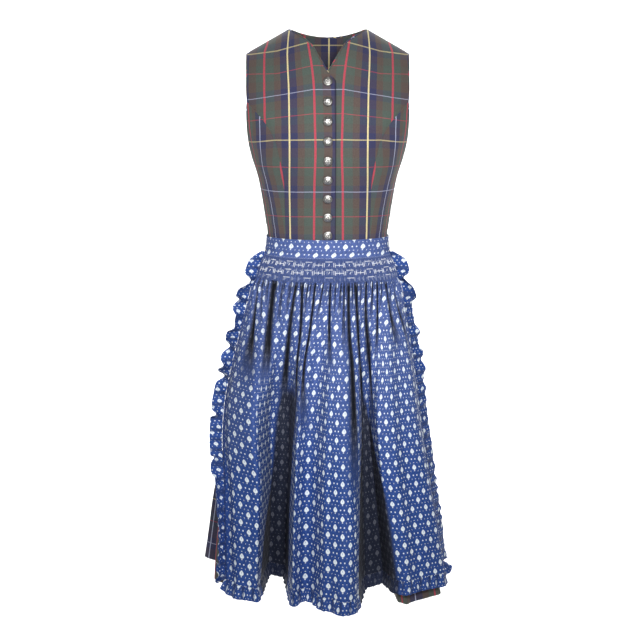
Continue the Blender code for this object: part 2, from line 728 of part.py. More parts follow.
def side_ruffle(word, column, waves=15, per_wave=4):
    """A gathered strip down one side of the apron, sewn on along the edge column."""
    path = np.concatenate([SMOCK_OUTER[:, column], APRON_OUTER[1:, column]])
    inner_column = 2 if column == 0 else -3
    beside = np.concatenate([SMOCK_OUTER[:, inner_column], APRON_OUTER[1:, inner_column]])
    heights = path[:, 2]
    cells = waves * per_wave
    across = (0.0, 0.55, 1.0)
    top_z = SMOCK_TOP_Z - 0.004
    outer, inner = [], []
    for k in range(cells + 1):
        z = top_z + (path[-1][2] + 0.003 - top_z) * k / cells
        edge = np.array([np.interp(z, heights[::-1], path[::-1, axis]) for axis in range(3)])
        cloth = np.array([np.interp(z, heights[::-1], beside[::-1, axis]) for axis in range(3)])
        along = level(edge - cloth)
        out = np.array((along[1], -along[0], 0.0))
        out = out if out @ level(edge) > 0 else -out
        lean = math.radians(smooth(RUFFLE_LEAN, word, z))
        forth = along * math.cos(lean) + out * math.sin(lean)
        swing = out * math.cos(lean) - along * math.sin(lean)
        wave = math.cos(2 * math.pi * k / per_wave)
        full = ease((k + 1.3) / 3)  # the strip is tapered where it starts
        row = [
            edge + forth * (SEAM_GAP + RUFFLE_WIDTH * full * u) + swing * wave * RUFFLE_REACH * full * u**0.8
            for u in across
        ]
        outer.append(row)
        inner.append([point - swing * APRON_WALL for point in row])
    wall(f"apron_ruffle_{word}", outer, inner, PRINT)


def hem_ruffle(waves=34, per_wave=4, flare=0.0045):
    """The gathered strip along the apron's hem, following its folds."""
    line = APRON_OUTER[-1]
    length = np.concatenate([[0.0], np.cumsum(np.linalg.norm(np.diff(line, axis=0), axis=1))])
    at = np.linspace(0.0, length[-1], waves * per_wave + 1)
    seam = np.stack([np.interp(at, length, line[:, axis]) for axis in range(3)], axis=1)
    normal = out_of_line(seam)
    wave = np.cos(2 * np.pi * np.arange(len(at)) / per_wave)[:, None]
    top = seam - np.array((0.0, 0.0, SEAM_GAP))
    from_end = np.minimum(at, at[-1] - at) / (HEM_RUFFLE_END * at[-1])
    lift = flare * (2.6 - 1.6 * ease(from_end))[:, None]
    foot = top - np.array((0.0, 0.0, HEM_RUFFLE)) + normal * (lift + wave * RUFFLE_REACH)
    outer = np.array([top, foot])
    wall("apron_ruffle_hem", outer, outer - normal * APRON_WALL, PRINT)


side_ruffle("right", 0)
side_ruffle("left", -1)
hem_ruffle()


# ---------------------------------------------------------------- apron ties, knotted at the back
KNOT_HALF = (0.0085, 0.0060, (BAND_TOP_Z - SMOCK_TOP_Z) / 2)
TAIL_LENGTH = 0.340
TAIL_TOP_HALF = 0.0075  # half width at the knot
TAIL_HALF = 0.015
TAIL_TOP_MIDDLE = 0.0085  # distance of a tail's middle from the centre line, at the knot
TAIL_SPREAD = 0.018  # and how much farther out it hangs below
TAIL_CELLS = 8
TAIL_OUT = 0.0030  # how far the tails hang outside the cloth line


def back_strip(name, rows, out):
    """A strip on the back's cloth line, from rows of (angle list, height)."""
    lines = [np.array([cloth_point(a, z, out) for a in angles]) for angles, z in rows]
    cloth_wall(name, lines, APRON_WALL, PRINT)


def make_ties(cells=14):
    """The band's ties round to the back, the knot, and the tails below it."""
    knot_angle = math.degrees(math.asin((KNOT_HALF[0] + SEAM_GAP) / smooth(SKIRT, "left", BAND_TOP_Z)))
    start = APRON_EDGE["left"][0] + 0.2
    for side, word in ((-1, "right"), (1, "left")):
        angles = [side * a for a in spread(start, 180 - knot_angle - 0.1, cells)]
        angles = angles if side > 0 else angles[::-1]
        back_strip(f"apron_tie_{word}", [(angles, BAND_TOP_Z), (angles, SMOCK_TOP_Z)], 0.0)

    knot_y = smooth(SKIRT, "back", SMOCK_TOP_Z) - WAIST_UNDER - SEAM_GAP + KNOT_HALF[1]
    bm = bmesh.new()
    bmesh.ops.create_cube(bm, size=2.0)
    bmesh.ops.scale(bm, vec=KNOT_HALF, verts=bm.verts)
    mesh = bpy.data.meshes.new("apron_knot")
    bm.to_mesh(mesh)
    bm.free()
    knot = add_piece("apron_knot", mesh, PRINT)
    knot.location = (0.0, knot_y, (BAND_TOP_Z + SMOCK_TOP_Z) / 2)
    rounded = knot.modifiers.new("rounded", "BEVEL")
    rounded.width = 0.004
    rounded.segments = 2

    for side, word in ((-1, "right"), (1, "left")):
        rows = []
        for k in range(TAIL_CELLS + 1):
            z = SMOCK_TOP_Z - SEAM_GAP - TAIL_LENGTH * k / TAIL_CELLS
            half = smooth(SKIRT, "left", z)
            middle = math.degrees((TAIL_TOP_MIDDLE + TAIL_SPREAD * ease(k / 2)) / half)
            width = math.degrees((TAIL_TOP_HALF + (TAIL_HALF - TAIL_TOP_HALF) * ease(k / 2)) / half)
            angles = [180 - side * (middle + width * u) for u in (-1.0, 0.0, 1.0)]
            rows.append((angles if side < 0 else angles[::-1], z))
        back_strip(f"apron_tail_{word}", rows, TAIL_OUT)


make_ties()


# ---------------------------------------------------------------- buttons
def lap_surface(z):
    """The lap's own faces at the centre line: the point there and its outward direction."""
    outer = GRIDS["front_right"][0]
    rows = outer[: len(CENTRE_ROWS) + 2]
    centre = [[np.interp(0.0, row[::-1, 0], row[::-1, axis]) for axis in range(3)] for row in rows]
    centre = np.array(centre)
    y = np.interp(z, centre[:, 2], centre[:, 1])
    k = min(np.searchsorted(centre[:, 2], z), len(centre) - 1)
    rise = unit(centre[k] - centre[k - 1])
    normal = np.array((0.0, -rise[2], rise[1]))
    return np.array((0.0, y, z)), normal


def make_buttons():
    """Domed buttons on short shanks, each a turned profile on the lap's centre line."""
    profile = (
        (0.0, 0.0060),
        (0.0050, 0.0052),
        (BUTTON_RADIUS, 0.0028),
        (0.0085, 0.0015),
        (0.0028, 0.0015),
        (0.0028, 0.0),
        (0.0, 0.0),
    )
    mesh = bpy.data.meshes.new("button")
    edges = [(k, k + 1) for k in range(len(profile) - 1)]
    mesh.from_pydata([(r, 0.0, h) for r, h in profile], edges, [])
    mesh.materials.append(METAL)
    for k in range(BUTTONS):
        point, normal = lap_surface(BUTTON_TOP_Z - BUTTON_PITCH * k)
        button = bpy.data.objects.new(f"button_{k + 1}", mesh)
        PARTS.objects.link(button)
        turned = button.modifiers.new("turned", "SCREW")
        turned.steps = turned.render_steps = BUTTON_SIDES
        turned.use_merge_vertices = True
        turned.merge_threshold = 0.00005
        button.location = point + normal * (SEAM_GAP + 0.0001)
        button.rotation_euler = Vector(normal).to_track_quat("Z", "Y").to_euler()


make_buttons()
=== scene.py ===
"""Dirndl dress with its gathered apron, filled out as worn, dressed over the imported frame."""

import math

import bpy
import numpy as np
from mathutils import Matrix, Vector


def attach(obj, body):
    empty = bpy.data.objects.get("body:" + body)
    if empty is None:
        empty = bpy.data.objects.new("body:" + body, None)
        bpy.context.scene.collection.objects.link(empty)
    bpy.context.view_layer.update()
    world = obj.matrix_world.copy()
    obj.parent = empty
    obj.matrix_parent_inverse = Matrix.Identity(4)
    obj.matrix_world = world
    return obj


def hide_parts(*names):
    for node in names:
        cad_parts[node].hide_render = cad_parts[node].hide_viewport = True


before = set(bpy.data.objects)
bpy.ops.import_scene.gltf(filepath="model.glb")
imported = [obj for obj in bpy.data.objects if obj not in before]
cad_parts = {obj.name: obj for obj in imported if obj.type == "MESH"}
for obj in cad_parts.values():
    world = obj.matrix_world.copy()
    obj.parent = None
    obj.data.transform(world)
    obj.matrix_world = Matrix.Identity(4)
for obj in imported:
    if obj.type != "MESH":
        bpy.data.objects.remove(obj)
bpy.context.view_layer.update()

dress = bpy.data.collections.new("dirndl_dress")
bpy.context.scene.collection.children.link(dress)

# -------------------- studio
# A pale seamless sheet that lies on the floor and sweeps up behind the dress, with two soft lamps in
# front of it, one over the sheet and one over the floor behind, and white light all round. The camera
# stands level with the shoulders and looks down a little.
FLOOR_Z = -1.450
LOOK_DOWN = math.radians(10.5)
CAMERA_AT = (-0.015, -2.980, -0.026)
LENS_MM, SENSOR_MM = 84.09, 36.0


def placed(name, data, collection=dress):
    """A new object, linked in."""
    made = bpy.data.objects.new(name, data)
    collection.objects.link(made)
    return made


class Value:
    """A node's output, so that a material's formulas can be written as sums and products."""

    def __init__(self, tree, socket):
        self.tree, self.socket = tree, socket

    def __add__(self, other):
        return worked("ADD", self, other)

    def __sub__(self, other):
        return worked("SUBTRACT", self, other)

    def __rsub__(self, other):
        return worked("SUBTRACT", other, self)

    def __mul__(self, other):
        return worked("MULTIPLY", self, other)

    def __truediv__(self, other):
        return worked("DIVIDE", self, other)


def fill(tree, sockets, inputs):
    """Set each input to a number or colour, or join it to another node's output."""
    for key, value in inputs.items():
        socket = sockets[key]
        if isinstance(value, Value):
            tree.links.new(value.socket, socket)
        else:
            socket.default_value = (*value, 1.0) if socket.type == "RGBA" else value


def node(tree, kind, output, inputs, **settings):
    """One output of a new node with these inputs and settings."""
    made = tree.nodes.new(f"ShaderNode{kind}")
    for key, value in settings.items():
        setattr(made, key, value)
    fill(tree, made.inputs, inputs)
    return Value(tree, made.outputs[output])


def worked(operation, *values, clamp=False):
    """The result of one operation on numbers and other nodes' outputs."""
    tree = next(value.tree for value in values if isinstance(value, Value))
    return node(tree, "Math", 0, dict(enumerate(values)), operation=operation, use_clamp=clamp)


def material(name, inputs):
    """A new material with its shader's inputs, and its nodes."""
    made = bpy.data.materials.new(name)
    made.use_nodes = True
    shade(made.node_tree, inputs)
    return made, made.node_tree


def shade(tree, inputs):
    fill(tree, tree.nodes["Principled BSDF"].inputs, inputs)


def studio_sheet(half_width=9.0, front_y=-9.0, sweep_y=3.5, sweep_radius=3.0, top_z=6.0, steps=24):
    """The floor and its sweep, as one smooth strip."""
    turn = np.linspace(0, math.pi / 2, steps)
    y = np.concatenate([[front_y], sweep_y + sweep_radius * np.sin(turn), [sweep_y + sweep_radius]])
    z = np.concatenate([[0.0], sweep_radius * (1 - np.cos(turn)), [top_z]]) + FLOOR_Z
    points = [(side * half_width, a, b) for a, b in zip(y, z) for side in (-1, 1)]
    mesh = bpy.data.meshes.new("studio_sheet")
    mesh.from_pydata(points, [], [(2 * k, 2 * k + 1, 2 * k + 3, 2 * k + 2) for k in range(len(y) - 1)])
    mesh.shade_smooth()
    mesh.materials.append(material("studio_paper", {"Base Color": (0.82, 0.82, 0.82), "Roughness": 0.9})[0])
    placed("studio_sheet", mesh, bpy.context.scene.collection)


def soft_lamp(name, place, aim, size, power, spread=180.0):
    """A round lamp, aimed at a point."""
    lamp = bpy.data.lights.new(name, "AREA")
    lamp.shape = "DISK"
    lamp.size = size
    lamp.energy = power
    lamp.spread = math.radians(spread)
    holder = placed(name, lamp, bpy.context.scene.collection)
    holder.location = place
    holder.rotation_euler = (Vector(aim) - Vector(place)).to_track_quat("-Z", "Y").to_euler()


camera = placed("camera", bpy.data.cameras.new("camera"), bpy.context.scene.collection)
camera.data.lens = LENS_MM
camera.data.sensor_width = SENSOR_MM
camera.location = CAMERA_AT
camera.rotation_euler = (math.radians(90) - LOOK_DOWN, 0.0, 0.0)
bpy.context.scene.camera = camera
studio_sheet()
soft_lamp("key_lamp", (0.25, -2.0, 0.25), (0.0, 0.0, -0.47), 0.5, 5.4, spread=64.0)
soft_lamp("fill_lamp", (-1.4, -1.9, 0.4), (0.0, 0.0, -0.40), 0.9, 8)
soft_lamp("sheet_lamp", (0.0, 1.4, 2.6), (0.0, 4.6, -0.6), 2.6, 300, spread=130.0)
soft_lamp("floor_lamp", (0.0, 1.5, 1.4), (0.0, 2.4, -1.45), 1.6, 75)
world = bpy.data.worlds.new("white_room")
world.use_nodes = True
background = world.node_tree.nodes["Background"].inputs
fill(world.node_tree, background, {"Color": (1.0, 1.0, 1.0), "Strength": 0.20})
bpy.context.scene.world = world
bpy.context.scene.view_settings.view_transform = "Standard"

# -------------------- bodice
# Seven panels of light woven wool, cut on the straight grain and joined with princess seams, closed in
# front by a lap, right over left. Its checks are woven in: the warp's stripes stand out, the weft's
# lines are thinner and paler.
SEAM_HALF = 0.0002
BODICE_CLOTH = 0.0014
CLOTH_SHARP = 60  # degrees, the least angle of a sharp edge
NECK_HALF = 0.078
NECK_FRONT = -0.081
NECK_BACK = -0.017
SHOULDER_HALF = 0.158
SHOULDER_DROP = 0.045
SHOULDER_Y = 0.005
SHOULDER_GAP = 0.00015  # half the gap between front and back at the shoulder seams
SHOULDER_ROUND = 0.150
SHOULDER_CURVE = 1.7
SEAM_SINK, SEAM_REACH = 0.0007, 2.2  # how deep the cloth turns in at a seam, over how many columns
SIDE_ANGLE = 96.0
WAIST_Z = -0.415
UNDERARM_ROW = 4
LAP_EDGE = 0.016
LAP_PAINTED_SHADOW = 0.95  # how dark the painted shadow along the lap's edge is
UNDER_LAP_EDGE = 0.014
UNDER_LAP_DEPTH = 0.0025
UNDER_LAP_END = 0.028
UNDER_LAP_RISE = 0.014
WOOL_ROUGHNESS, WOOL_SHEEN = 0.88, 0.12
WOOL_RIBS, WOOL_RELIEF = 0.0011, 0.0003  # from rib to rib of the weave, and their height
IN_SHADOW = (0.006, 0.006, 0.010)


def table(columns, *rows):
    """A short table: the named columns, each as an array."""
    return dict(zip(columns.split(), np.array(rows, float).T))


# Sections of the body form, waist to shoulder
TORSO = table(
    "z half front back square",
    (-0.415, 0.1205, 0.079, 0.084, 2), (-0.405, 0.12, 0.079, 0.084, 2), (-0.37, 0.1245, 0.086, 0.086, 2.05),
    (-0.327, 0.131, 0.098, 0.091, 2.12), (-0.287, 0.1385, 0.112, 0.096, 2.15),
    (-0.2465, 0.151, 0.124, 0.102, 2.2), (-0.219, 0.16, 0.126, 0.105, 2.3),
    (-0.193, 0.168, 0.124, 0.107, 2.38), (-0.155, 0.178, 0.117, 0.107, 2.48),
    (-0.1, 0.187, 0.106, 0.103, 2.5), (-0.045, 0.19, 0.098, 0.098, 2.5), (0.02, 0.19, 0.094, 0.095, 2.5),
)
# Seams and edges of the bodice: distance from the centre at each height
STATIONS = table(
    "z front_seam back_seam edge",
    (-0.415, 0.0835, 0.046, 0), (-0.37, 0.0838, 0.051, 0), (-0.327, 0.0842, 0.058, 0),
    (-0.287, 0.0855, 0.067, 0), (-0.2465, 0.0925, 0.079, 0), (-0.242, 0.0935, 0.0807, 0.151),
    (-0.2325, 0.0956, 0.0842, 0.1525), (-0.219, 0.0985, 0.089, 0.1545), (-0.193, 0.11, 0.102, 0.1565),
    (-0.171, 0.1255, 0.118, 0.157), (-0.155, 0.14, 0.135, 0.157), (-0.1395, 0.155, 0.155, 0.157),
)
# Rows of the front above the seam: neck edge (across, z) and armhole edge (across, z)
UPPER_FRONT = table(
    "neck_x neck_z arm_x arm_z",
    (0, -0.1, 0.157, -0.11), (0, NECK_FRONT, 0.157, -0.093), (0.0175, -0.054, 0.1573, -0.079),
    (0.035, -0.027, 0.1576, -0.066), (0.056, -0.012, 0.1578, -0.0545),
    (NECK_HALF, 0, SHOULDER_HALF, -SHOULDER_DROP),
)
UPPER_BACK_SHARE = (0.30, 0.55, 0.75, 0.90, 1.0)

# Where the warp's lines run on the fronts: distance from the centre at each height
WARP_LINES = table(
    "z inner_red yellow outer_red",
    (0, 0.042, 0.0765, 0.1185), (-0.025, 0.04, 0.0785, 0.119), (-0.046, 0.0362, 0.0793, 0.1243),
    (-0.069, 0.0324, 0.0785, 0.1243), (-0.112, 0.028, 0.0762, 0.1235), (-0.171, 0.0264, 0.075, 0.1223),
    (-0.226, 0.0252, 0.0746, 0.1223), (-0.3, 0.0274, 0.0755, 0.124), (-0.4, 0.0284, 0.075, 0.124),
)
# Heights of the weft's lines from yellow at the shoulder down to yellow at the waist
WEFT_LINES = table(
    "centre middle side",
    (-0.0225, -0.0415, -0.048), (-0.0682, -0.0838, -0.085), (-0.1125, -0.1245, -0.133),
    (-0.1575, -0.1655, -0.1735), (-0.206, -0.2075, -0.2145), (-0.259, -0.26, -0.262),
    (-0.307, -0.309, -0.308), (-0.3565, -0.3585, -0.361), (-0.406, -0.408, -0.41),
)
WEFT_AT = (0.030, 0.100, 0.150)  # distances across of the three columns
LINE_STEP = 0.049  # from one line of the checks to the next, in the cloth
# The side fronts' warp: angle round from centre front and place across the cloth, and the distance of
# their white line from the centre at each height
SIDE_WARP = table("angle across", (20, 0.030), (37.2, 0.0605), (54, 0.0985), (67, 0.147), (96, 0.214))
WHITE_ANGLE = 54
BACK_ROUND = 0.118  # radius of the side backs, for their warp
SIDE_WHITE = table(
    "z across",
    (-0.1, 0.131), (-0.18, 0.131), (-0.25, 0.1285), (-0.3, 0.118), (-0.35, 0.109), (-0.405, 0.102),
)


def smooth(tab, column, at, key="z"):
    """The column at a height, along a curve through the table's rows that never overshoots them."""
    x, y = tab[key], tab[column]
    if x[0] > x[-1]:
        x, y = x[::-1], y[::-1]
    step = np.diff(x)
    slope = np.diff(y) / step
    rate = np.zeros(len(x))
    rate[0], rate[-1] = slope[0], slope[-1]
    for i in range(1, len(x) - 1):
        if slope[i - 1] * slope[i] > 0:
            a = 2 * step[i] + step[i - 1]
            b = step[i] + 2 * step[i - 1]
            rate[i] = (a + b) / (a / slope[i - 1] + b / slope[i])
    at = np.clip(at, x[0], x[-1])
    i = np.clip(np.searchsorted(x, at) - 1, 0, len(x) - 2)
    t = (at - x[i]) / step[i]
    return (
        y[i] * (1 + 2 * t) * (1 - t) ** 2
        + rate[i] * step[i] * t * (1 - t) ** 2
        + y[i + 1] * t * t * (3 - 2 * t)
        - rate[i + 1] * step[i] * t * t * (1 - t)
    )


def ease(t):
    """0 to 1, starting and ending gently."""
    t = np.clip(t, 0.0, 1.0)
    return t * t * (3 - 2 * t)


def near(value, place, reach):
    """1 at the place, fading out over the reach to both sides."""
    return np.exp(-(((value - place) / reach) ** 2))


def unit(v):
    return v / np.maximum(np.linalg.norm(v, axis=-1, keepdims=True), 1e-9)


def spread(start, end, cells):
    return np.linspace(start, end, cells + 1)


def together(*parts):
    """Points or directions from their parts, each an array or a number."""
    return np.stack(np.broadcast_arrays(*parts), axis=-1)


def shoulder_line(x):
    """Height of the shoulder over a distance from the centre, rounded level between the neck points."""
    slope = SHOULDER_DROP / (SHOULDER_HALF - NECK_HALF)
    x = np.abs(x)
    level = 0.5 * slope * NECK_HALF * (1 - (x / NECK_HALF) ** 2)
    return np.where(x < NECK_HALF, level, -slope * (x - NECK_HALF))


def body_at_angle(angle, z):
    """Points of the body form at angles round from centre front, rolled over at the shoulders."""
    power = 2 / smooth(TORSO, "square", z)
    s, c = np.sin(np.radians(angle)), np.cos(np.radians(angle))
    depth = np.where(c > 0, smooth(TORSO, "front", z), smooth(TORSO, "back", z))
    x = smooth(TORSO, "half", z) * np.sign(s) * np.abs(s) ** power
    y = -depth * np.sign(c) * np.abs(c) ** power
    below = np.clip((shoulder_line(x) - z) / SHOULDER_ROUND, 0.0, 1.0)
    out = (1 - (1 - below) ** SHOULDER_CURVE) ** (1 / SHOULDER_CURVE)
    return together(x, SHOULDER_Y + (y - SHOULDER_Y) * out, z)


def angle_of(x, z):
    """Angle from the centre line, 0 to 90, at which the body form is this wide."""
    share = np.minimum(1.0, np.abs(x) / smooth(TORSO, "half", z))
    return np.degrees(np.arcsin(share ** (smooth(TORSO, "square", z) / 2)))


def body_at_x(x, z, back=False):
    """Points of the body form at distances across, on its front or its back."""
    angle = np.copysign(angle_of(x, z), x)
    return body_at_angle(180 - angle if back else angle, z)


def finer(rows, per_row, per_cell):
    """Places and heights of the rows, with more rows on smooth curves and more places along each."""
    rows = np.array(rows, float)
    keys, old = np.arange(len(rows), dtype=float), np.arange(rows.shape[1])
    at = spread(0, keys[-1], (len(keys) - 1) * per_row)
    new = spread(0, old[-1], old[-1] * per_cell)
    tall = np.apply_along_axis(lambda line: smooth({"z": keys, "v": line}, "v", at), 0, rows)
    return np.moveaxis(np.apply_along_axis(lambda line: np.interp(new, old, line), 1, tall), -1, 0)


def outward(points):
    """Each point's direction out of the grid's surface, on the side away from the dress's axis."""
    normal = unit(np.cross(np.gradient(points, axis=1), np.gradient(points, axis=0)))
    return normal if (normal * points * (1, 1, 0)).sum() > 0 else -normal


def new_mesh(name, points, faces, finish, cut=None, sharp=None, **values):
    """A smooth mesh. cut is each point's or corner's place in the flat cloth, in metres, kept as a UV
    map for the weave or print; the values are kept as attributes of the points."""
    mesh = bpy.data.meshes.new(name)
    mesh.from_pydata(points.reshape(-1, 3).tolist(), [], faces)
    if cut is not None:
        if len(cut) == len(mesh.vertices):
            cut = cut[[corner for face in faces for corner in face]]
        mesh.uv_layers.new(name="cut").uv.foreach_set("vector", cut.ravel())
    for key, value in values.items():
        mesh.attributes.new(key, "FLOAT", "POINT").data.foreach_set("value", value)
    mesh.shade_smooth()
    if sharp:
        mesh.set_sharp_from_angle(angle=math.radians(sharp))
    mesh.materials.append(finish)
    return mesh


def cloth_piece(name, outer, thick, finish, cut, inner=None, hollow=0.0):
    """One closed thin wall of cloth from a grid of points on its outer side. cut is how far across and
    down the flat cloth each point lies; the last argument is the shade painted on each point, 0 to 1."""
    grid = np.zeros(outer.shape[:2])
    if inner is None:
        inner = outer - outward(outer) * thick
    number = np.arange(grid.size).reshape(grid.shape)
    a, b = number[:-1, :-1].ravel(), number[:-1, 1:].ravel()
    c, d = number[1:, 1:].ravel(), number[1:, :-1].ravel()
    rim = np.concatenate([number[0], number[1:, -1], number[-1, -2::-1], number[-2:0:-1, 0]])
    after = np.roll(rim, -1)
    walls = together(after, rim, rim + grid.size, after + grid.size)
    faces = np.concatenate([together(a, b, c, d), together(d, c, b, a) + grid.size, walls])
    corners = np.concatenate([outer.reshape(-1, 3), inner.reshape(-1, 3)])
    p, q, r, s = (corners[faces[:, k]] - corners.mean(axis=0) for k in range(4))
    if (np.cross(p, q) * r + np.cross(p, r) * s).sum() < 0:
        faces = faces[:, ::-1]
    flat = together(cut[0] + grid, cut[1] + grid).reshape(-1, 2)
    mesh = new_mesh(name, corners, faces.tolist(), finish, np.tile(flat, (2, 1)), CLOTH_SHARP,
                    hollow=np.tile((hollow + grid).ravel(), 2))
    return placed(name, mesh)


def sew_on(piece, slot, *nodes):
    """The piece stands for its solids and moves with the dress."""
    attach(piece, "root")
    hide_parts(*nodes)


def mixed(share, first, second):
    """The mix of two colours."""
    return node(share.tree, "Mix", 2, {0: share, 6: first, 7: second}, data_type="RGBA")


def cloth_material(name, inputs):
    """A new material, the cut cloth's coordinates, how far they are across and down, and its painted shade.
    """
    made, tree = material(name, {"Sheen Roughness": 0.5, **inputs})
    cut = node(tree, "UVMap", 0, {}, uv_map="cut")
    across, down = (node(tree, "SeparateXYZ", key, {0: cut}) for key in "XY")
    return made, cut, across, down, node(tree, "Attribute", "Fac", {}, attribute_name="hollow")


def raise_weave(cut, pitch, height):
    """Fine diagonal ribs of the weave, as the cloth's relief."""
    settings = {"Scale": 2 * math.pi / (20 * pitch), "Distortion": 1.5, "Detail": 1.0, "Detail Scale": 2.0}
    ribs = node(cut.tree, "TexWave", "Fac", {"Vector": cut, **settings},
                wave_type="BANDS", bands_direction="DIAGONAL")
    bump = node(cut.tree, "Bump", 0, {"Strength": 0.35, "Distance": height, "Height": ribs})
    shade(cut.tree, {"Normal": bump})


def tinted(cut, colour, scale, low, high):
    """The colour made a little darker and lighter in uneven patches, as dyed yarn is."""
    noise = node(cut.tree, "TexNoise", "Fac", {"Scale": scale, "Detail": 4.0, "Vector": cut})
    limits = {"From Min": 0.3, "From Max": 0.7, "To Min": low, "To Max": high}
    patches = node(cut.tree, "MapRange", 0, {"Value": noise, **limits})
    return node(cut.tree, "VectorMath", 0, {0: colour, "Scale": patches}, operation="SCALE")


# The checks' yarns from a yellow line out to a white one, where the order turns back: colour, where
# the yarn starts in metres, and how much of it shows
GREEN, BROWN, NAVY = (0.082, 0.11, 0.094), (0.112, 0.078, 0.068), (0.034, 0.034, 0.105)
YELLOW, RED, WHITE = (0.8, 0.68, 0.34), (0.5, 0.062, 0.095), (0.5, 0.53, 0.72)
WARP_YARNS = (
    (YELLOW, 0, 1), (NAVY, 0.0014, 0.55), (BROWN, 0.0155, 0.5), (GREEN, 0.0285, 0.5),
    (RED, 0.0469, 1), (GREEN, 0.0511, 0.5), (BROWN, 0.0655, 0.5), (NAVY, 0.0815, 0.55),
    (WHITE, 0.0972, 1),
)
WEFT_GREEN, WEFT_BROWN, WEFT_NAVY = (0.074, 0.098, 0.08), (0.098, 0.072, 0.062), (0.04, 0.046, 0.105)
WEFT_YARNS = (
    (YELLOW, 0, 0.28), (WEFT_NAVY, 0.0008, 0), (WEFT_BROWN, 0.014, 0), (WEFT_GREEN, 0.031, 0),
    (RED, 0.0482, 0.4), (WEFT_GREEN, 0.0498, 0), (WEFT_BROWN, 0.066, 0), (WEFT_NAVY, 0.0855, 0),
    (WHITE, 0.0976, 0.45),
)
HALF_REPEAT = 0.0985


def yarns(along, order):
    """The colour of the yarn at a distance across the checks, and how much of it shows."""
    folded = worked("PINGPONG", along, HALF_REPEAT) / HALF_REPEAT
    color = node(along.tree, "ValToRGB", "Color", {0: folded})
    ramp = color.socket.node.color_ramp
    ramp.interpolation = "CONSTANT"
    while len(ramp.elements) < len(order):
        ramp.elements.new(1.0)
    for stop, (colour, start, shows) in zip(ramp.elements, order):
        stop.position = start / HALF_REPEAT
        stop.color = (*colour, shows)
    return color, Value(along.tree, color.socket.node.outputs["Alpha"])


def checked_wool(name):
    """The woven checks: each point shows the warp's yarn over the weft's, more of a line than of a band."""
    made, cut, across, down, hollow = cloth_material(
        name, {"Roughness": WOOL_ROUGHNESS, "Sheen Weight": WOOL_SHEEN}
    )
    warp, warp_shows = yarns(across, WARP_YARNS)
    weft, weft_shows = yarns(down, WEFT_YARNS)
    share = worked("SUBTRACT", warp_shows * 0.62 + 0.34, weft_shows * 0.62, clamp=True)
    woven = tinted(cut, mixed(share, weft, warp), 420.0, 0.86, 1.14)
    # Painted shade: where a piece carries it, the checks go over to a near-black shadow colour.
    shade(cut.tree, {"Base Color": mixed(hollow, woven, IN_SHADOW)})
    raise_weave(cut, WOOL_RIBS, WOOL_RELIEF)
    return made


def weft_place(across, z):
    """How far down the cloth a point of the bodice lies, from its height and distance across."""
    heights = [np.interp(np.abs(across), WEFT_AT, row) for row in zip(*WEFT_LINES.values())]
    down = np.minimum(0.0, heights[0] - z)
    for upper, lower in zip(heights, heights[1:]):
        down = down + LINE_STEP * np.clip((upper - z) / (upper - lower), 0.0, 1.0)
    return down + np.maximum(0.0, heights[-1] - z)


def warp_on_front(across, z):
    """How far across the cloth a point of a front lies from its yellow line."""
    red, yellow, outer = (smooth(WARP_LINES, name, z) for name in ("inner_red", "yellow", "outer_red"))
    inward = LINE_STEP * (across - yellow) / (yellow - red)
    inward = np.where(across < red, across - red - LINE_STEP, inward)
    return np.where(across > yellow, LINE_STEP * (across - yellow) / (outer - yellow), inward)


def front_rows(side, overlap, cells=6):
    """Rows of one front, from the lap's edge to the princess seam and armhole, in x and z."""
    rows = []
    for z, seam in zip(STATIONS["z"], STATIONS["front_seam"]):
        rows.append([(side * x, z) for x in spread(-overlap, seam - SEAM_HALF, cells)])
    for k, (neck_x, neck_z, arm_x, arm_z) in enumerate(zip(*UPPER_FRONT.values())):
        across = spread(-overlap if k == 0 else neck_x, arm_x, cells)
        rows.append([(side * x, z) for x, z in zip(across, spread(neck_z, arm_z, cells))])
    return rows


def side_rows(side, front, cells=4):
    """Rows of a side panel, from its princess seam to the side seam and armhole, in angle and z."""
    rows = []
    for j, z in enumerate(STATIONS["z"]):
        seam = angle_of(STATIONS["front_seam" if front else "back_seam"][j] + SEAM_HALF, z)
        gap = math.degrees(SEAM_HALF / smooth(TORSO, "front", z))
        if j <= UNDERARM_ROW:
            edge = SIDE_ANGLE - gap if front else 180 - SIDE_ANGLE - gap
        else:
            edge = angle_of(STATIONS["edge"][j], z)
        rows.append([(side * (a if front else 180 - a), z) for a in spread(seam, edge, cells)])
    return rows


def back_rows(shoulder_cells=5, neck_cells=8):
    """Rows of the back, from one princess seam and armhole to the other, in x and z."""
    shoulder = spread(NECK_HALF, SHOULDER_HALF, shoulder_cells)
    top = np.concatenate([-shoulder[::-1], spread(-NECK_HALF, NECK_HALF, neck_cells)[1:-1], shoulder])
    share = top / SHOULDER_HALF
    rows = [together((seam - SEAM_HALF) * share, z) for z, seam in zip(STATIONS["z"], STATIONS["back_seam"])]
    start_z, edge_x = STATIONS["z"][-1], STATIONS["edge"][-1]
    inside = np.maximum(0.0, 1 - (top / NECK_HALF) ** 2)
    z_top = np.where(inside > 0, NECK_BACK * inside, shoulder_line(top))
    for v in UPPER_BACK_SHARE:
        half = edge_x + (SHOULDER_HALF - edge_x) * v
        rows.append(together(half * share, start_z + (z_top - start_z) * v))
    return rows


def bodice_creases(points):
    """Slight unevenness of the worn bodice: soft pulls from the bust and ripples over the waist."""
    x, _, z = np.moveaxis(points, -1, 0)
    low = ease((-0.30 - z) / 0.10)
    ripple = np.sin(z * 260 + 1.7 * np.sin(x * 34) + x * 21) * (0.35 + 0.65 * np.sin(x * 57 + 1.1) ** 2)
    pull = np.sin(z * 95 - np.abs(x) * 120 + 0.6) * ease((np.abs(x) - 0.05) / 0.05)
    return 0.0007 * low * ripple + 0.0005 * pull * ease((z + 0.30) / 0.08) * ease((-0.10 - z) / 0.06)


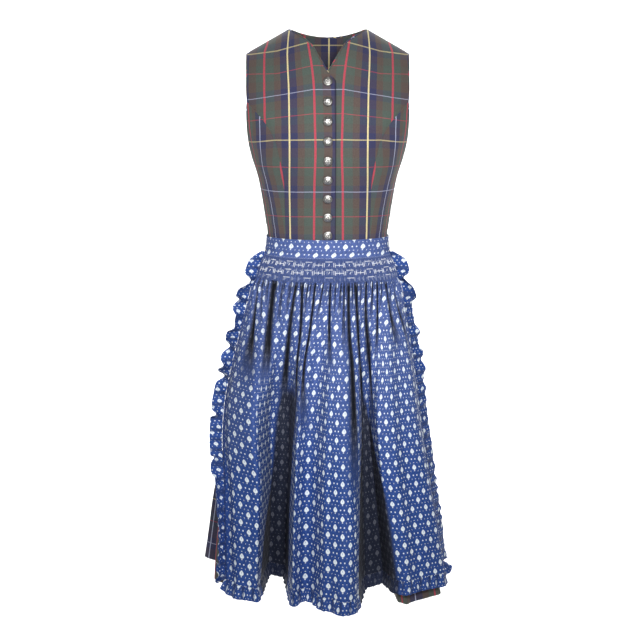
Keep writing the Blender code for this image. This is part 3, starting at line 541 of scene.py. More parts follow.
def bodice_piece(name, points, cut, hollow=0.0):
    """One panel: its creases and the seams turned in at its long edges, its cloth, and its flat cut."""
    columns = np.arange(points.shape[1])
    from_edge = np.minimum(columns, columns[::-1])
    relief = bodice_creases(points) * ease(from_edge / 4.0) - SEAM_SINK * near(from_edge, 0, SEAM_REACH)
    points = points + outward(points) * relief[..., None]
    piece = cloth_piece(f"bodice_{name}_cloth", points, BODICE_CLOTH, checks, cut, hollow=hollow)
    sew_on(piece, "plaid_wool", f"bodice_{name}")
    PANELS[name] = points


checks = checked_wool("checked_wool")
FINE = 5  # rows of a panel to each row of its pattern
SEAM_ROW = (len(STATIONS["z"]) - 1) * FINE
V_ROW = SEAM_ROW + 2 * FINE
PANELS = {}
for side, word, overlap in ((-1, "right", LAP_EDGE), (1, "left", UNDER_LAP_EDGE)):
    points = body_at_x(*finer(front_rows(side, overlap), FINE, 6))
    if side > 0:
        beside = 1 - ease((points[..., 0] - UNDER_LAP_END) / UNDER_LAP_RISE)
        below_v = ease((NECK_FRONT + 0.030 - points[..., 2]) / 0.025)
        points = points - outward(points) * (UNDER_LAP_DEPTH * beside * below_v)[..., None]
    points[-1, :, 1] -= SHOULDER_GAP
    across, z = side * (points[..., 0] - 0.0015), points[..., 2]
    # Painted shadow: the lap's outer column below the V is darkened as the shadow line of its edge.
    lap_painted_shadow = np.zeros(points.shape[:2])
    if side < 0:
        lap_painted_shadow[: V_ROW - 2, 0] = LAP_PAINTED_SHADOW
    cut = (warp_on_front(across, z), weft_place(across, z))
    bodice_piece(f"front_{word}", points, cut, hollow=lap_painted_shadow)

    turned, z = finer(side_rows(side, True), FINE, 6)
    points = body_at_angle(turned, z)
    shift = WHITE_ANGLE - angle_of(smooth(SIDE_WHITE, "across", z), z)
    cut = (smooth(SIDE_WARP, "across", side * turned + shift, "angle"), weft_place(points[..., 0], z))
    bodice_piece(f"side_front_{word}", points, cut)

    turned, z = finer(side_rows(side, False), FINE, 6)
    points = body_at_angle(turned, z)
    cut = (np.radians(180 - side * turned) * BACK_ROUND + 0.02, weft_place(points[..., 0], z))
    bodice_piece(f"side_back_{word}", points, cut)

points = body_at_x(*finer(back_rows(), FINE, 4), back=True)
points[-1, :, 1] += SHOULDER_GAP
cut = (points[..., 0] - 0.003, weft_place(points[..., 0] * 0.5, points[..., 2]) - 0.008)
bodice_piece("back", points, cut)

# -------------------- piping
# A thin cord in a strip of the same wool cut on the bias, sewn round the neck and each armhole.
PIPING_RADIUS = 0.0013
PIPING_SEAT = 0.0003
PIPING_STEP = 0.002
BIAS = 0.707


def lengths(points, axis):
    """Distance along the grid's lines from their first point."""
    step = np.linalg.norm(np.diff(points, axis=axis), axis=-1)
    start = np.zeros_like(np.take(step, [0], axis=axis))
    return np.cumsum(np.concatenate([start, step], axis=axis), axis=axis)


def rings_round(middle, along, beside, radius, sides):
    """Rings of points round a line, set out by the directions along and beside it."""
    turn = np.linspace(0, 2 * math.pi, sides, endpoint=False)[:, None]
    ring = beside[:, None] * np.cos(turn) + np.cross(beside, along)[:, None] * np.sin(turn)
    return middle[:, None] + ring * radius


def tube(count, sides, closed=False):
    """Faces between rings in a row, and the ring and the place round it of each of their corners."""
    ring, place = np.mgrid[: count if closed else count - 1, :sides].reshape(2, -1, 1)
    ring, place = ring + (0, 1, 1, 0), place + (0, 0, 1, 1)
    return (ring % count * sides + place % sides).tolist(), ring, place


def caps(count, sides):
    """The faces that close a tube's two ends."""
    return [list(range(sides)), list(range(count * sides))[: -sides - 1 : -1]]


def corded_edge(name, runs, hole, closed, sides=10):
    """A cord along edges that follow on from each other, on the side towards the hole."""
    points, normals = (np.concatenate(part) for part in zip(*runs))
    kept = [0]
    for k in range(1, len(points)):
        if np.linalg.norm(points[k] - points[kept[-1]]) > PIPING_STEP:
            kept.append(k)
    if closed and np.linalg.norm(points[0] - points[kept[-1]]) < PIPING_STEP:
        kept.pop()
    points, normals = points[kept], normals[kept]
    if closed:
        along = unit(np.roll(points, -1, axis=0) - np.roll(points, 1, axis=0))
    else:
        along = unit(np.gradient(points, axis=0))
    beside = unit(np.cross(along, normals))
    beside *= np.sign(((np.array(hole) - points) * beside).sum(axis=1))[:, None]
    middle = points - normals * BODICE_CLOTH / 2 + beside * (PIPING_RADIUS + PIPING_SEAT)
    faces, ring, place = tube(len(middle), sides, closed)
    length = lengths(middle, 0)
    far = BIAS * np.append(length, length[-1] + 0.003)[ring]
    aside = BIAS * place * PIPING_RADIUS * 2 * math.pi / sides
    cut = together(far + aside, far - aside).reshape(-1, 2)
    if not closed:
        faces += caps(len(middle), sides)
        cut = np.concatenate([cut, np.zeros((2 * sides, 2))])
    rings = rings_round(middle, along, beside, PIPING_RADIUS, sides)
    piece = placed(f"{name}_cord", new_mesh(f"{name}_cord", rings, faces, checks, cut))
    sew_on(piece, "plaid_bias", name)


def panel_edge(name, rows, column):
    """The points of a panel's edge and the directions out of the panel there."""
    grid = PANELS[name]
    return grid[rows, column], outward(grid)[rows, column]


for side, word, back_column in ((-1, "right", 0), (1, "left", -1)):
    runs = [
        panel_edge(f"side_front_{word}", slice(UNDERARM_ROW * FINE, None), -1),
        panel_edge(f"front_{word}", slice(SEAM_ROW + 1, None), -1),
        panel_edge("back", slice(None, SEAM_ROW, -1), back_column),
        panel_edge(f"side_back_{word}", slice(None, UNDERARM_ROW * FINE - 1, -1), -1),
    ]
    corded_edge(f"piping_armhole_{word}", runs, (side * SHOULDER_HALF, 0.0, -0.140), True)
neck = np.flatnonzero(np.abs(PANELS["back"][-1, :, 0]) < NECK_HALF - 0.001)
runs = [
    panel_edge("front_right", slice(V_ROW, None), 0),
    panel_edge("back", -1, slice(neck[0], neck[-1] + 1)),
    panel_edge("front_left", slice(None, V_ROW - 1, -1), 0),
]
corded_edge("piping_neck", runs, (0.0, -0.03, 0.040), False)

# -------------------- buttons
# Nine cast buttons of silver-coloured metal, darkened in their hollows and rubbed bright on top, each
# on a shank sewn through the lap.
BUTTONS = 9
BUTTON_TOP_Z = -0.0986
BUTTON_PITCH = 0.0372
BUTTON_RADIUS = 0.009
BUTTON_DOME = 0.0028
BUTTON_BACK = ((0.0090, 0.0020), (0.0084, 0.0015), (0.0028, 0.0015), (0.0028, 0.0))  # radius, height
BUTTON_SEAT = 0.0004
BUTTON_SHARP = 50  # degrees, the least angle of a sharp edge
PETALS = 8
BEADS = 28
TARNISH, SILVER = (0.085, 0.080, 0.074), (0.90, 0.88, 0.85)


def aged_silver():
    """Dark in the hollows and bright where it is rubbed, with a little unevenness."""
    made, tree = material("aged_silver", {"Metallic": 1.0, "Roughness": 0.30})
    place = node(tree, "TexCoord", "Object", {})
    uneven = node(tree, "TexNoise", "Fac", {"Scale": 900.0, "Vector": place}) * 0.3 - 0.15
    rubbed = node(tree, "Attribute", "Fac", {}, attribute_name="rubbed")
    shade(tree, {"Base Color": mixed(worked("ADD", rubbed, uneven, clamp=True), TARNISH, SILVER)})
    return made


def button_mesh(rings=22, spokes=112):
    """A domed button: a beaded rim, a rosette of petals and a boss, over a plain back and shank."""
    turn = np.linspace(0, 2 * math.pi, spokes, endpoint=False)
    share = spread(0, 1, rings)[1:, None]
    dome = BUTTON_DOME + BUTTON_DOME * (1 - share**2.2)
    beads = near(share, 0.88, 0.06) * (0.5 + 0.5 * np.cos(BEADS * turn))
    petals = ease(1 - np.abs(share - 0.46) / 0.24) * np.abs(np.cos(PETALS / 2 * turn)) ** 0.7
    boss = ease((0.20 - share) / 0.08)
    relief = 0.00050 * beads + 0.00040 * near(share, 0.75, 0.03) + 0.00060 * petals + 0.00050 * boss
    wide = np.concatenate([BUTTON_RADIUS * share, [[radius] for radius, _ in BUTTON_BACK]])
    back = np.array([[low] for _, low in BUTTON_BACK]) + 0 * turn
    tall = np.concatenate([dome + relief - 0.0003, back])
    grid = together(wide * np.cos(turn), wide * np.sin(turn), tall).reshape(-1, 3)
    points = np.concatenate([[(0.0, 0.0, dome[0, 0] + 0.0002)], grid, [(0.0, 0.0, 0.0)]])
    rubbed = (np.clip(relief / 0.00045, 0, 1) * 0.9 + 0.08).ravel()
    rubbed = np.concatenate([[1.0], rubbed, np.full(back.size + 1, 0.3)])
    faces = [[corner + 1 for corner in face] for face in tube(len(wide), spokes)[0]]
    last = len(points) - 1
    for i in range(spokes):
        k = (i + 1) % spokes
        faces += [(0, 1 + i, 1 + k), (last - spokes + k, last - spokes + i, last)]
    return new_mesh("cast_button", points, faces, aged_silver(), None, BUTTON_SHARP, rubbed=rubbed)


def points_at(line, keys, at):
    """Points of a line at values of its keys, which rise along it."""
    return together(*(np.interp(at, keys, line[:, axis]) for axis in range(3)))


cast = button_mesh()
lap = PANELS["front_right"][: V_ROW + 1, ::-1]
lap_line = np.array([points_at(row, row[:, 0], 0.0) for row in lap])
for k in range(BUTTONS):
    z = BUTTON_TOP_Z - BUTTON_PITCH * k
    below, y, above = np.interp((z - BUTTON_RADIUS, z, z + BUTTON_RADIUS), lap_line[:, 2], lap_line[:, 1])
    normal = Vector((0.0, -2 * BUTTON_RADIUS, above - below)).normalized()
    button = placed(f"button_{k + 1}_cast", cast)
    button.location = Vector((0.0, y, z)) + normal * BUTTON_SEAT
    button.rotation_euler = normal.to_track_quat("Z", "Y").to_euler()
    sew_on(button, "antique_silver", f"button_{k + 1}")

# -------------------- skirt
# Two widths of the bodice's wool, gathered into the waist seam and left to hang in folds; the front
# hangs under the apron, which hides most of it.
SEAM_GAP = 0.0003
SKIRT_CLOTH = 0.0011
SKIRT_TOP_Z = WAIST_Z - SEAM_GAP
SKIRT_HEM_Z = -1.088
SKIRT_DROP = 0.705  # along the cloth
BAND_TOP_Z = -0.405
SMOCK_TOP_Z = -0.431
SMOCK_FOOT_Z = -0.485
SKIRT_DIP = 0.012
SKIRT_GATHERS = 24
GATHER_TALL, GATHER_FINE = 0.0085, 0.0022
GATHER_START = 0.025
GATHER_END = 0.55
GATHER_LIMIT = 0.018
FOLD_GROWTH = 0.80
DEEP_FOLD = -0.10
SKIRT_UNDER = 0.0085
SKIRT_BESIDE = 0.0045
WAIST_UNDER = 0.0020
HEM_STITCH, HEM_STITCH_UP = 0.0006, 0.034  # depth of the hem's stitching, and how high it runs

# Sections of the cloth line of skirt and apron, without folds
SKIRT = table(
    "z right left front back",
    (-0.405, 0.1234, 0.1234, 0.0826, 0.0866), (-0.415, 0.123, 0.123, 0.0814, 0.0862),
    (-0.431, 0.126, 0.126, 0.084, 0.089), (-0.46, 0.139, 0.139, 0.097, 0.102),
    (-0.485, 0.148, 0.146, 0.108, 0.114), (-0.53, 0.161, 0.154, 0.128, 0.135),
    (-0.58, 0.174, 0.1625, 0.147, 0.152), (-0.66, 0.1915, 0.1765, 0.172, 0.172),
    (-0.75, 0.208, 0.19, 0.195, 0.19), (-0.85, 0.22, 0.206, 0.217, 0.206),
    (-0.95, 0.2395, 0.223, 0.239, 0.22), (-1.088, 0.26, 0.2445, 0.262, 0.236),
)
# Folds: angle round from centre front, half their angle, depth at the hem and how flat they are
FOLDS = table(
    "angle half depth flat",
    (-23.6, 10.2, -0.172, 0.45), (22.6, 9.4, -0.112, 0.4), (8.5, 9, 0.032, 0.1), (-8.5, 8, -0.044, 0),
    (-47, 5, -0.01, 0), (-57, 5, -0.005, 0), (45, 6, -0.008, 0), (48.5, 19, 0.03, 0.4), (80, 7, -0.012, 0),
    (-81, 15, -0.046, 0.35), (-106, 10, 0.009, 0.1), (-120, 8, -0.034, 0), (-137, 7, -0.026, 0),
    (-156, 8.5, -0.04, 0), (-177, 7, -0.024, 0), (163, 8.5, -0.038, 0), (143, 7.5, -0.03, 0),
    (122, 8.5, -0.036, 0), (101, 7, -0.022, 0),
)
# The two deep front folds close up towards the waist: share of their width at the hem
FOLD_WIDTH = table(
    "z right left",
    (-0.485, 1, 1), (-0.58, 0.7, 0.8), (-0.64, 0.42, 0.5), (-0.74, 0.42, 0.42), (-0.91, 0.6, 0.8),
    (-1.088, 0.8, 1.15),
)
# Side edges of the apron: angle at each height
APRON_EDGE = table(
    "z right left",
    (-0.485, -75, 75), (-0.58, -76, 76), (-0.66, -80, 76), (-0.73, -84, 75), (-0.8, -79, 74),
    (-0.87, -67, 74), (-0.92, -61, 73), (-1, -55, 73), (-1.088, -51, 73),
)


def fold_depth(angle, opened=1.0):
    """How far the folds push the hem out (+) or in (-) at an angle; the two deep ones as far as opened."""
    total = 0.0
    for at, half, depth, flat in zip(*FOLDS.values()):
        away = np.abs((angle - at + 180) % 360 - 180) / half
        share = opened if depth < DEEP_FOLD else 1.0
        total = total + depth * share * (1 - ease((away - flat) / (1 - flat)))
    return total


def fall(z):
    """Share of the way down from the smocking's foot to the skirt's hem."""
    return np.clip((SMOCK_FOOT_Z - z) / (SMOCK_FOOT_Z - SKIRT_HEM_Z), 0.0, 1.0)


def cloth_line(angle, z, out):
    """Points of the cloth line at angles round and heights, pushed out from the plain section."""
    s, c = np.sin(np.radians(angle)), np.cos(np.radians(angle))
    half = np.where(s > 0, smooth(SKIRT, "left", z), smooth(SKIRT, "right", z))
    depth = np.where(c > 0, smooth(SKIRT, "front", z), smooth(SKIRT, "back", z))
    turned = ease((np.abs((angle + 180) % 360 - 180) - 35) / 30)[..., None]
    normal = unit(unit(together(s / half, -c / depth)) * turned + np.array((0.0, -1.0)) * (1 - turned))
    level = together(half * s, -depth * c) + normal * np.asarray(out)[..., None]
    return together(level[..., 0], level[..., 1], z)


def along_hem(start, end):
    """Angles, the share of the folded hem's length that lies before each, and that length."""
    angles = np.linspace(start, end, 1441)
    length = lengths(cloth_line(angles, SKIRT_HEM_Z, fold_depth(angles)), 0)
    return angles, length / length[-1], length[-1]


FRONT_ANGLES, FRONT_SHARES, FRONT_LENGTH = along_hem(-SIDE_ANGLE, SIDE_ANGLE)
BACK_ANGLES, BACK_SHARES, BACK_LENGTH = along_hem(SIDE_ANGLE, 360 - SIDE_ANGLE)
EDGE_SHARES = np.interp((APRON_EDGE["right"][-1], APRON_EDGE["left"][-1]), FRONT_ANGLES, FRONT_SHARES)


def apron_share(share):
    """0 at the apron's right edge to 1 at its left."""
    return (share - EDGE_SHARES[0]) / (EDGE_SHARES[1] - EDGE_SHARES[0])


def front_angle(share, z):
    """Angles of threads of the front at a height: spread evenly in the gathers, as folded at the hem."""
    hem = np.interp(share, FRONT_SHARES, FRONT_ANGLES)
    right, left = smooth(APRON_EDGE, "right", z), smooth(APRON_EDGE, "left", z)
    hem_right, hem_left = APRON_EDGE["right"][-1], APRON_EDGE["left"][-1]
    even = apron_share(share)
    settled = 1 - (1 - fall(z)) ** 4
    across = even + ((hem - hem_right) / (hem_left - hem_right) - even) * settled
    middle = hem_right + (hem_left - hem_right) * across
    for fold, at in zip(("right", "left"), FOLDS["angle"][:2]):
        keep = smooth(FOLD_WIDTH, fold, z)
        away = middle - at
        middle = at + away * (keep + (1 - keep) * ease(np.abs(away) / 21))
    middle = middle + (right - hem_right) * (1 - ease(across / 0.25))
    middle = middle + (left - hem_left) * ease((across - 0.75) / 0.25)
    before = -SIDE_ANGLE + (right + SIDE_ANGLE) * share / EDGE_SHARES[0]
    after = left + (SIDE_ANGLE - left) * (share - EDGE_SHARES[1]) / (1 - EDGE_SHARES[1])
    return np.where(share < EDGE_SHARES[0], before, np.where(share > EDGE_SHARES[1], after, middle))


def front_line(share, z, relief=0.0, lift=0.0):
    """Points of the front's cloth line at heights; lift raises its wearer's left part as it falls."""
    opened = 0.30 + 0.70 * ease((-0.56 - z) / 0.19)
    folds = fold_depth(np.interp(share, FRONT_SHARES, FRONT_ANGLES), opened) * fall(z) ** FOLD_GROWTH
    line = cloth_line(front_angle(share, z), z, folds + relief)
    even = apron_share(share)
    line[..., 2] += lift * fall(z) * ease((even - 0.66) / 0.16) * (1 - ease((even - 1.0) / 0.15))
    return line


def gather_height(z, tall):
    return tall * ease(fall(z) / GATHER_START) * (1 - ease(fall(z) / GATHER_END))


def back_line(share, z):
    """Points of the back's cloth line at heights, with its uneven gathers, from left to right."""
    hem_angle = np.interp(share, BACK_SHARES, BACK_ANGLES)
    even = SIDE_ANGLE + (360 - 2 * SIDE_ANGLE) * share
    angle = even + (hem_angle - even) * (1 - (1 - fall(z)) ** 3)
    turn = math.pi * SKIRT_GATHERS * (share + 0.006 * np.sin(19 * share + 1.3) + 0.003 * np.sin(47 * share))
    uneven = 0.75 + 0.35 * np.sin(31 * share + 0.4) * np.sin(13 * share + 2.0)
    pleats = gather_height(z, GATHER_TALL) * uneven * np.abs(np.sin(turn)) ** 1.3
    between = gather_height(z, GATHER_FINE) * np.cos(2.9 * turn + 0.7) * ease(0.8 - fall(z) * 2.2)
    return cloth_line(angle, z, fold_depth(hem_angle) * fall(z) ** FOLD_GROWTH - pleats - between)


def skirt_creases(turn, z):
    """Soft secondary folds that run down the hanging cloth, deeper in its middle, and a few slack dents."""
    down = fall(z)
    soft = 0.0030 * np.sin(turn * 9.3 + 1.5 * np.sin(turn * 2.1) + 0.8 * down) * ease(down / 0.4)
    fine = 0.0016 * np.sin(turn * 23.0 + 2.2 * np.sin(turn * 3.3 + 1.0) - 1.1 * down) * ease(down / 0.3)
    dents = 0.0012 * np.sin(z * 31 + turn * 6.0) * np.sin(turn * 13.0 - z * 9) * ease((down - 0.2) / 0.3)
    return soft + fine + dents


# Long valleys between the gathers, which take in the apron's fullness: where each starts and ends across
# the apron, half its width, its depth and the height at which it has run out
VALLEYS = table(
    "top foot half depth end",
    (0.053, 0.06, 0.006, 0.009, -0.7), (0.131, 0.12, 0.015, 0.014, -0.705),
    (0.222, 0.237, 0.0055, 0.01, -0.8), (0.252, 0.373, 0.01, 0.011, -0.8),
    (0.335, 0.43, 0.0065, 0.013, -0.79), (0.43, 0.49, 0.0055, 0.009, -0.66),
    (0.541, 0.56, 0.0085, 0.012, -0.92), (0.586, 0.715, 0.0135, 0.012, -0.84),
    (0.662, 0.782, 0.008, 0.011, -0.8), (0.748, 0.786, 0.006, 0.009, -0.64),
    (0.822, 0.885, 0.0065, 0.009, -0.63), (0.885, 0.925, 0.0055, 0.008, -0.62),
    (0.95, 0.955, 0.005, 0.007, -0.65),
)
# Short ones between them, which only dent it
SHORT_VALLEYS = table(
    "top foot half depth end",
    (0.02, 0.022, 0.004, 0.004, -0.56), (0.08, 0.083, 0.0045, 0.005, -0.59),
    (0.102, 0.105, 0.004, 0.005, -0.55), (0.168, 0.172, 0.0045, 0.006, -0.585),
    (0.201, 0.205, 0.0045, 0.006, -0.56), (0.29, 0.3, 0.004, 0.005, -0.56),
    (0.312, 0.32, 0.004, 0.004, -0.54), (0.388, 0.394, 0.0045, 0.006, -0.565),
    (0.408, 0.412, 0.004, 0.004, -0.535), (0.466, 0.472, 0.004, 0.005, -0.555),
    (0.496, 0.5, 0.0045, 0.005, -0.56), (0.516, 0.53, 0.0045, 0.007, -0.64),
    (0.564, 0.568, 0.004, 0.005, -0.55), (0.625, 0.632, 0.004, 0.005, -0.55),
    (0.71, 0.716, 0.0045, 0.006, -0.57), (0.785, 0.79, 0.004, 0.005, -0.55),
    (0.852, 0.856, 0.004, 0.005, -0.57), (0.915, 0.919, 0.004, 0.005, -0.575),
    (0.978, 0.98, 0.004, 0.004, -0.56),
)
# Floors of the two deep folds, painted in deep shade so that the print hardly shows: their edges across
# the apron at each height, where they start, and how much shade is painted on them
FOLD_FLOORS = table(
    "z right_from right_to left_from left_to",
    (-0.655, 0.226, 0.335, 0.676, 0.686), (-0.7, 0.226, 0.345, 0.668, 0.698),
    (-0.75, 0.222, 0.358, 0.66, 0.712), (-0.82, 0.218, 0.335, 0.64, 0.76),
    (-0.9, 0.208, 0.312, 0.622, 0.808), (-1, 0.135, 0.318, 0.595, 0.812),
    (-1.088, 0.105, 0.325, 0.59, 0.812),
)
FLOOR_STARTS = {"right": -0.682, "left": -0.700}
FLOOR_PAINTED_SHADE = 0.92
FINE_PLEATS = 62


def from_ends(share):
    """Distance from the nearer end of 0 to 1."""
    return np.minimum(share, 1 - share)


def valley_line(top, foot, end, z):
    """How far a valley has run out at a height, and where across the apron it is there."""
    gone = (SMOCK_FOOT_Z - z) / (SMOCK_FOOT_Z - end)
    return gone, top + (foot - top) * np.clip(gone, 0.0, 1.0)


def fold_floors(even, z):
    """How much shade is painted on the floors of the deep folds."""
    painted_dark = 0.0
    for side, starts in FLOOR_STARTS.items():
        left, right = (smooth(FOLD_FLOORS, f"{side}_{end}", z) for end in ("from", "to"))
        floor = ease((even - left) / 0.009 + 0.5) * ease((right - even) / 0.009 + 0.5)
        painted_dark = np.maximum(painted_dark, floor * ease((starts - z) / 0.030))
    return painted_dark


def gathers(even, z):
    """How far the gathers' valleys go in at heights, and how much shade is painted at each place."""
    inward, painted_dark = 0.0, 0.0
    start = ease((SMOCK_FOOT_Z + 0.004 - z) / 0.012)
    for valleys, stays in ((VALLEYS, 0.55), (SHORT_VALLEYS, 0.30)):
        for top, foot, half, depth, end in zip(*valleys.values()):
            gone, middle = valley_line(top, foot, end, z)
            away = np.abs(even - middle) / half
            deep = depth * start * (1 - ease((gone - 0.40) / 0.60))
            inward = inward + deep / (1 + (away / (0.85 + 0.45 * np.minimum(gone, 1.0))) ** 3)
            # Painted shade down each valley, fading out as the valley runs out.
            strength = min(depth / 0.008, 1.0) * start * (1 - ease((gone - stays) / (1 - stays)))
            shaded = 1.05 * away / (0.85 + 2.0 * np.clip(gone, 0.0, 1.0) ** 2)
            painted_dark = painted_dark + strength / (1 + shaded**6)
    # Painted shade over the floors of the two deep folds.
    floor = FLOOR_PAINTED_SHADE * fold_floors(even, z)
    painted_dark = np.where(floor > 0, np.maximum(floor, np.minimum(painted_dark, FLOOR_PAINTED_SHADE)), painted_dark)
    pleats = np.cos(2 * math.pi * FINE_PLEATS * even + 2 * np.sin(17 * even))
    # Painted shade in the fine pleats just below the smocking.
    painted_dark = painted_dark + 0.8 * ease((pleats - 0.35) / 0.5) * start * ease((z + 0.512) / 0.018)
    inward = GATHER_LIMIT * np.tanh(inward / GATHER_LIMIT)
    inward = inward + 0.0010 * pleats * start * ease((z + 0.53) / 0.03)
    near_edge = ease(from_ends(even) / 0.03)
    return inward * near_edge, np.clip(painted_dark, 0, 1) * near_edge


def hanging_creases(even, z):
    """Soft uneven folds of the hanging cloth between its main ones, and slack dents near the hem."""
    down = fall(z)
    wander = even + 0.010 * np.sin(3.1 * down + 7 * even)
    soft = 0.0034 * np.sin(wander * 44 + 1.8 * np.sin(wander * 11)) * ease(down / 0.35)
    fine = 0.0017 * np.sin(wander * 101 + 2.5 * np.sin(wander * 17 + 2) - 1.5 * down) * ease(down / 0.2)
    dents = 0.0010 * np.sin(z * 36 + even * 25) * np.sin(even * 61 - z * 8) * ease((down - 0.3) / 0.3)
    hem = 0.0016 * np.sin(wander * 160 + 1.4 * np.sin(wander * 31)) * ease((down - 0.90) / 0.08)
    return (soft + fine + dents + hem) * ease(from_ends(even) / 0.02)


def out_of_ring(points, reach=6):
    """Level directions out of closed lines of points, evened out along them."""
    even_line = sum(np.roll(points, k, axis=-2) for k in range(-reach, reach + 1)) / (2 * reach + 1)
    run = np.roll(even_line, -1, axis=-2) - np.roll(even_line, 1, axis=-2)
    return unit(together(run[..., 1], -run[..., 0], 0.0))


def under_depth(share, z):
    """How far the skirt lies inside the cloth line: close at the waist, more under the apron."""
    inside = np.minimum(share - EDGE_SHARES[0], EDGE_SHARES[1] - share)
    loose = SKIRT_BESIDE + (SKIRT_UNDER - SKIRT_BESIDE) * ease((inside + 0.01) / 0.05)
    return WAIST_UNDER + (loose - WAIST_UNDER) * ease((SMOCK_TOP_Z - z) / 0.085)


def pressed_in(share, z, reach=10, soft=17):
    """How the apron's gathers and creases press into the skirt under it."""
    even = apron_share(share)
    covered = (even > 0) & (even < 1)
    inward = gathers(even, z)[0] * covered
    widest = np.max([np.roll(inward, k, axis=-1) for k in range(-reach, reach + 1)], axis=0)
    evened_out = np.apply_along_axis(np.convolve, -1, widest, np.ones(soft) / soft, "same")
    return hanging_creases(np.clip(even, 0, 1), z) * covered - evened_out


def make_skirt(columns=420, rows=96):
    """Both widths from the waist seam to the hem, with the hem turned up."""
    shares = spread(0.0, 1.0, columns)
    z = np.linspace(SKIRT_TOP_Z, SKIRT_HEM_Z, rows)[:, None]
    front = front_line(shares, z, pressed_in(shares, z), -SKIRT_DIP)
    ring = np.concatenate([front[:, :-1], back_line(shares, z)[:, :-1]], axis=1)
    under = shares[:-1]
    inward = np.concatenate([under_depth(under, z), under_depth(0 * under, z)], axis=1)
    kept = ease((np.minimum(under - EDGE_SHARES[0], EDGE_SHARES[1] - under) + 0.03) / 0.04)
    turn = np.linspace(0, 2 * math.pi, 2 * columns, endpoint=False)
    creased = skirt_creases(turn, z) * np.concatenate([1 - kept, np.ones(columns)])
    ring = ring - out_of_ring(ring) * (inward - creased * ease((SMOCK_TOP_Z - z) / 0.1))[..., None]
    lining = ring - out_of_ring(ring) * SKIRT_CLOTH
    sides = [np.concatenate([side, side[:, :1]], axis=1) for side in (ring, lining)]
    down = spread(0.0, SKIRT_DROP, rows - 1)[:, None]
    for word, part, way, length, start in (
        ("front", slice(0, columns + 1), -1, FRONT_LENGTH, 0.080),
        ("back", slice(columns, None), 1, BACK_LENGTH, 0.070),
    ):
        outer, inner = (side[:, part] + (0.0, way * SEAM_GAP / 2, 0.0) for side in sides)
        stitched = HEM_STITCH * near(outer[..., 2] - outer[-1, :, 2], HEM_STITCH_UP, 0.0022)
        outer = outer - outward(outer) * stitched[..., None]
        cut = (shares * length + start, down + 0.02)
        piece = cloth_piece(f"skirt_{word}_cloth", outer, SKIRT_CLOTH, checks, cut, inner)
        sew_on(piece, "plaid_wool", f"skirt_{word}")
        round(length * SKIRT_DROP * 0.8, 2)


make_skirt()

# -------------------- apron
# One wide length of indigo cotton, block-printed in white before it was sewn: smocked at its top, where
# fine pleats take in its fullness, set into a plain waistband, and falling below in uneven gathers.
APRON_CLOTH = 0.0010
SMOCK_CLOTH = 0.0007
BAND_HALF = 0.1398  # half the band's length
BAND_PRINT, SMOCK_PRINT, PANEL_PRINT = 0.0130, 0.0136, (0.0023, 0.0600)  # where the print lies on each
APRON_HEM_Z = -1.070
APRON_LIFT = 0.020
CORNER_SAG = 0.012  # how far its wearer's left corner hangs below that
PANEL_PROUD = 0.0035  # how far it stands out of the cloth's line
SEAM_PAINTED_SHADE, SEAM_PAINTED_SHADE_END = 0.55, 0.007  # how much shade is painted on the panel at its side seams, and how far in
PLEATS = 92
# how much shade is painted over the pleated part of the smocking
PLEAT_PAINTED_SHADE = 0.30
PLEAT_TALL, PINCH, PINCH_REACH = 0.0020, 0.0009, 0.0035  # the pleats, and where stitches take them in
COTTON_RIBS, COTTON_RELIEF = 0.0007, 0.00012
COTTON_ROUGH, COTTON_SHEEN, COTTON_SHINE = 0.62, 0.03, 0.2
PRINT_ACROSS, PRINT_DOWN = 0.0360, 0.0326  # the print's repeat
MOTIF_HALF, MOTIF_TALL = 0.0057, 0.0055  # half sizes of one printed motif
DOT_RADIUS = 0.00148
# The second colour is painted light: the lighter blue towards the top of the cut cloth.
INDIGO, INDIGO_PAINTED_LIT, PRINT_WHITE = (0.028, 0.074, 0.288), (0.077, 0.122, 0.335), (0.86, 0.94, 1.0)
# Painted shade on the print: its darkest and dark ground, and the print as seen in that shade.
DARKEST, DARK, DARK_PRINT = (0.005, 0.007, 0.013), (0.018, 0.020, 0.026), (0.135, 0.140, 0.165)


def edge_of_print(inside, blur):
    """1 inside the printed shape and 0 outside, with the print's slightly soft edge."""
    inputs = {"From Min": -blur, "From Max": blur, "Value": inside}
    return node(inside.tree, "MapRange", 0, inputs, interpolation_type="SMOOTHSTEP")


def repeated(value, pitch, start):
    """Distance from the middle of the nearest repeat."""
    return worked("FLOORED_MODULO", value + (pitch / 2 - start), pitch) - pitch / 2


def motif(across, down, start):
    """A small leaf-like motif with a mark in it and a knob over it, and the ground that it takes."""
    x = worked("ABSOLUTE", repeated(across, PRINT_ACROSS, start[0]))
    y = repeated(down, PRINT_DOWN, start[1]) * (-1.0 / MOTIF_TALL)
    arch = worked("POWER", worked("MAXIMUM", 1.0 - y * y, 0.0), 0.72)
    shape = edge_of_print(arch * (y * -0.34 + 0.92) - 0.11 - x / MOTIF_HALF, 0.10)
    low = 0.34 - worked("ABSOLUTE", y - 0.10)
    mark = edge_of_print(worked("MINIMUM", 0.13 - x / MOTIF_HALF, low), 0.07)
    tip, aside = y + 1.24, x / MOTIF_TALL
    knob = edge_of_print(0.25 - worked("SQRT", tip * tip + aside * aside), 0.07)
    near_x, near_y = 1.55 - x / MOTIF_HALF, 1.65 - worked("ABSOLUTE", y + 0.12)
    around = worked("GREATER_THAN", worked("MINIMUM", near_x, near_y), 0.0)
    return worked("MAXIMUM", shape - mark * 0.45, knob * 0.85), around


def dots(across, down, start):
    """Rows of small dots at a quarter of the repeat across and half of it down."""
    x = repeated(across, PRINT_ACROSS / 4, start[0])
    y = repeated(down, PRINT_DOWN / 2, start[1])
    return edge_of_print(DOT_RADIUS - worked("SQRT", x * x + y * y), 0.00022)


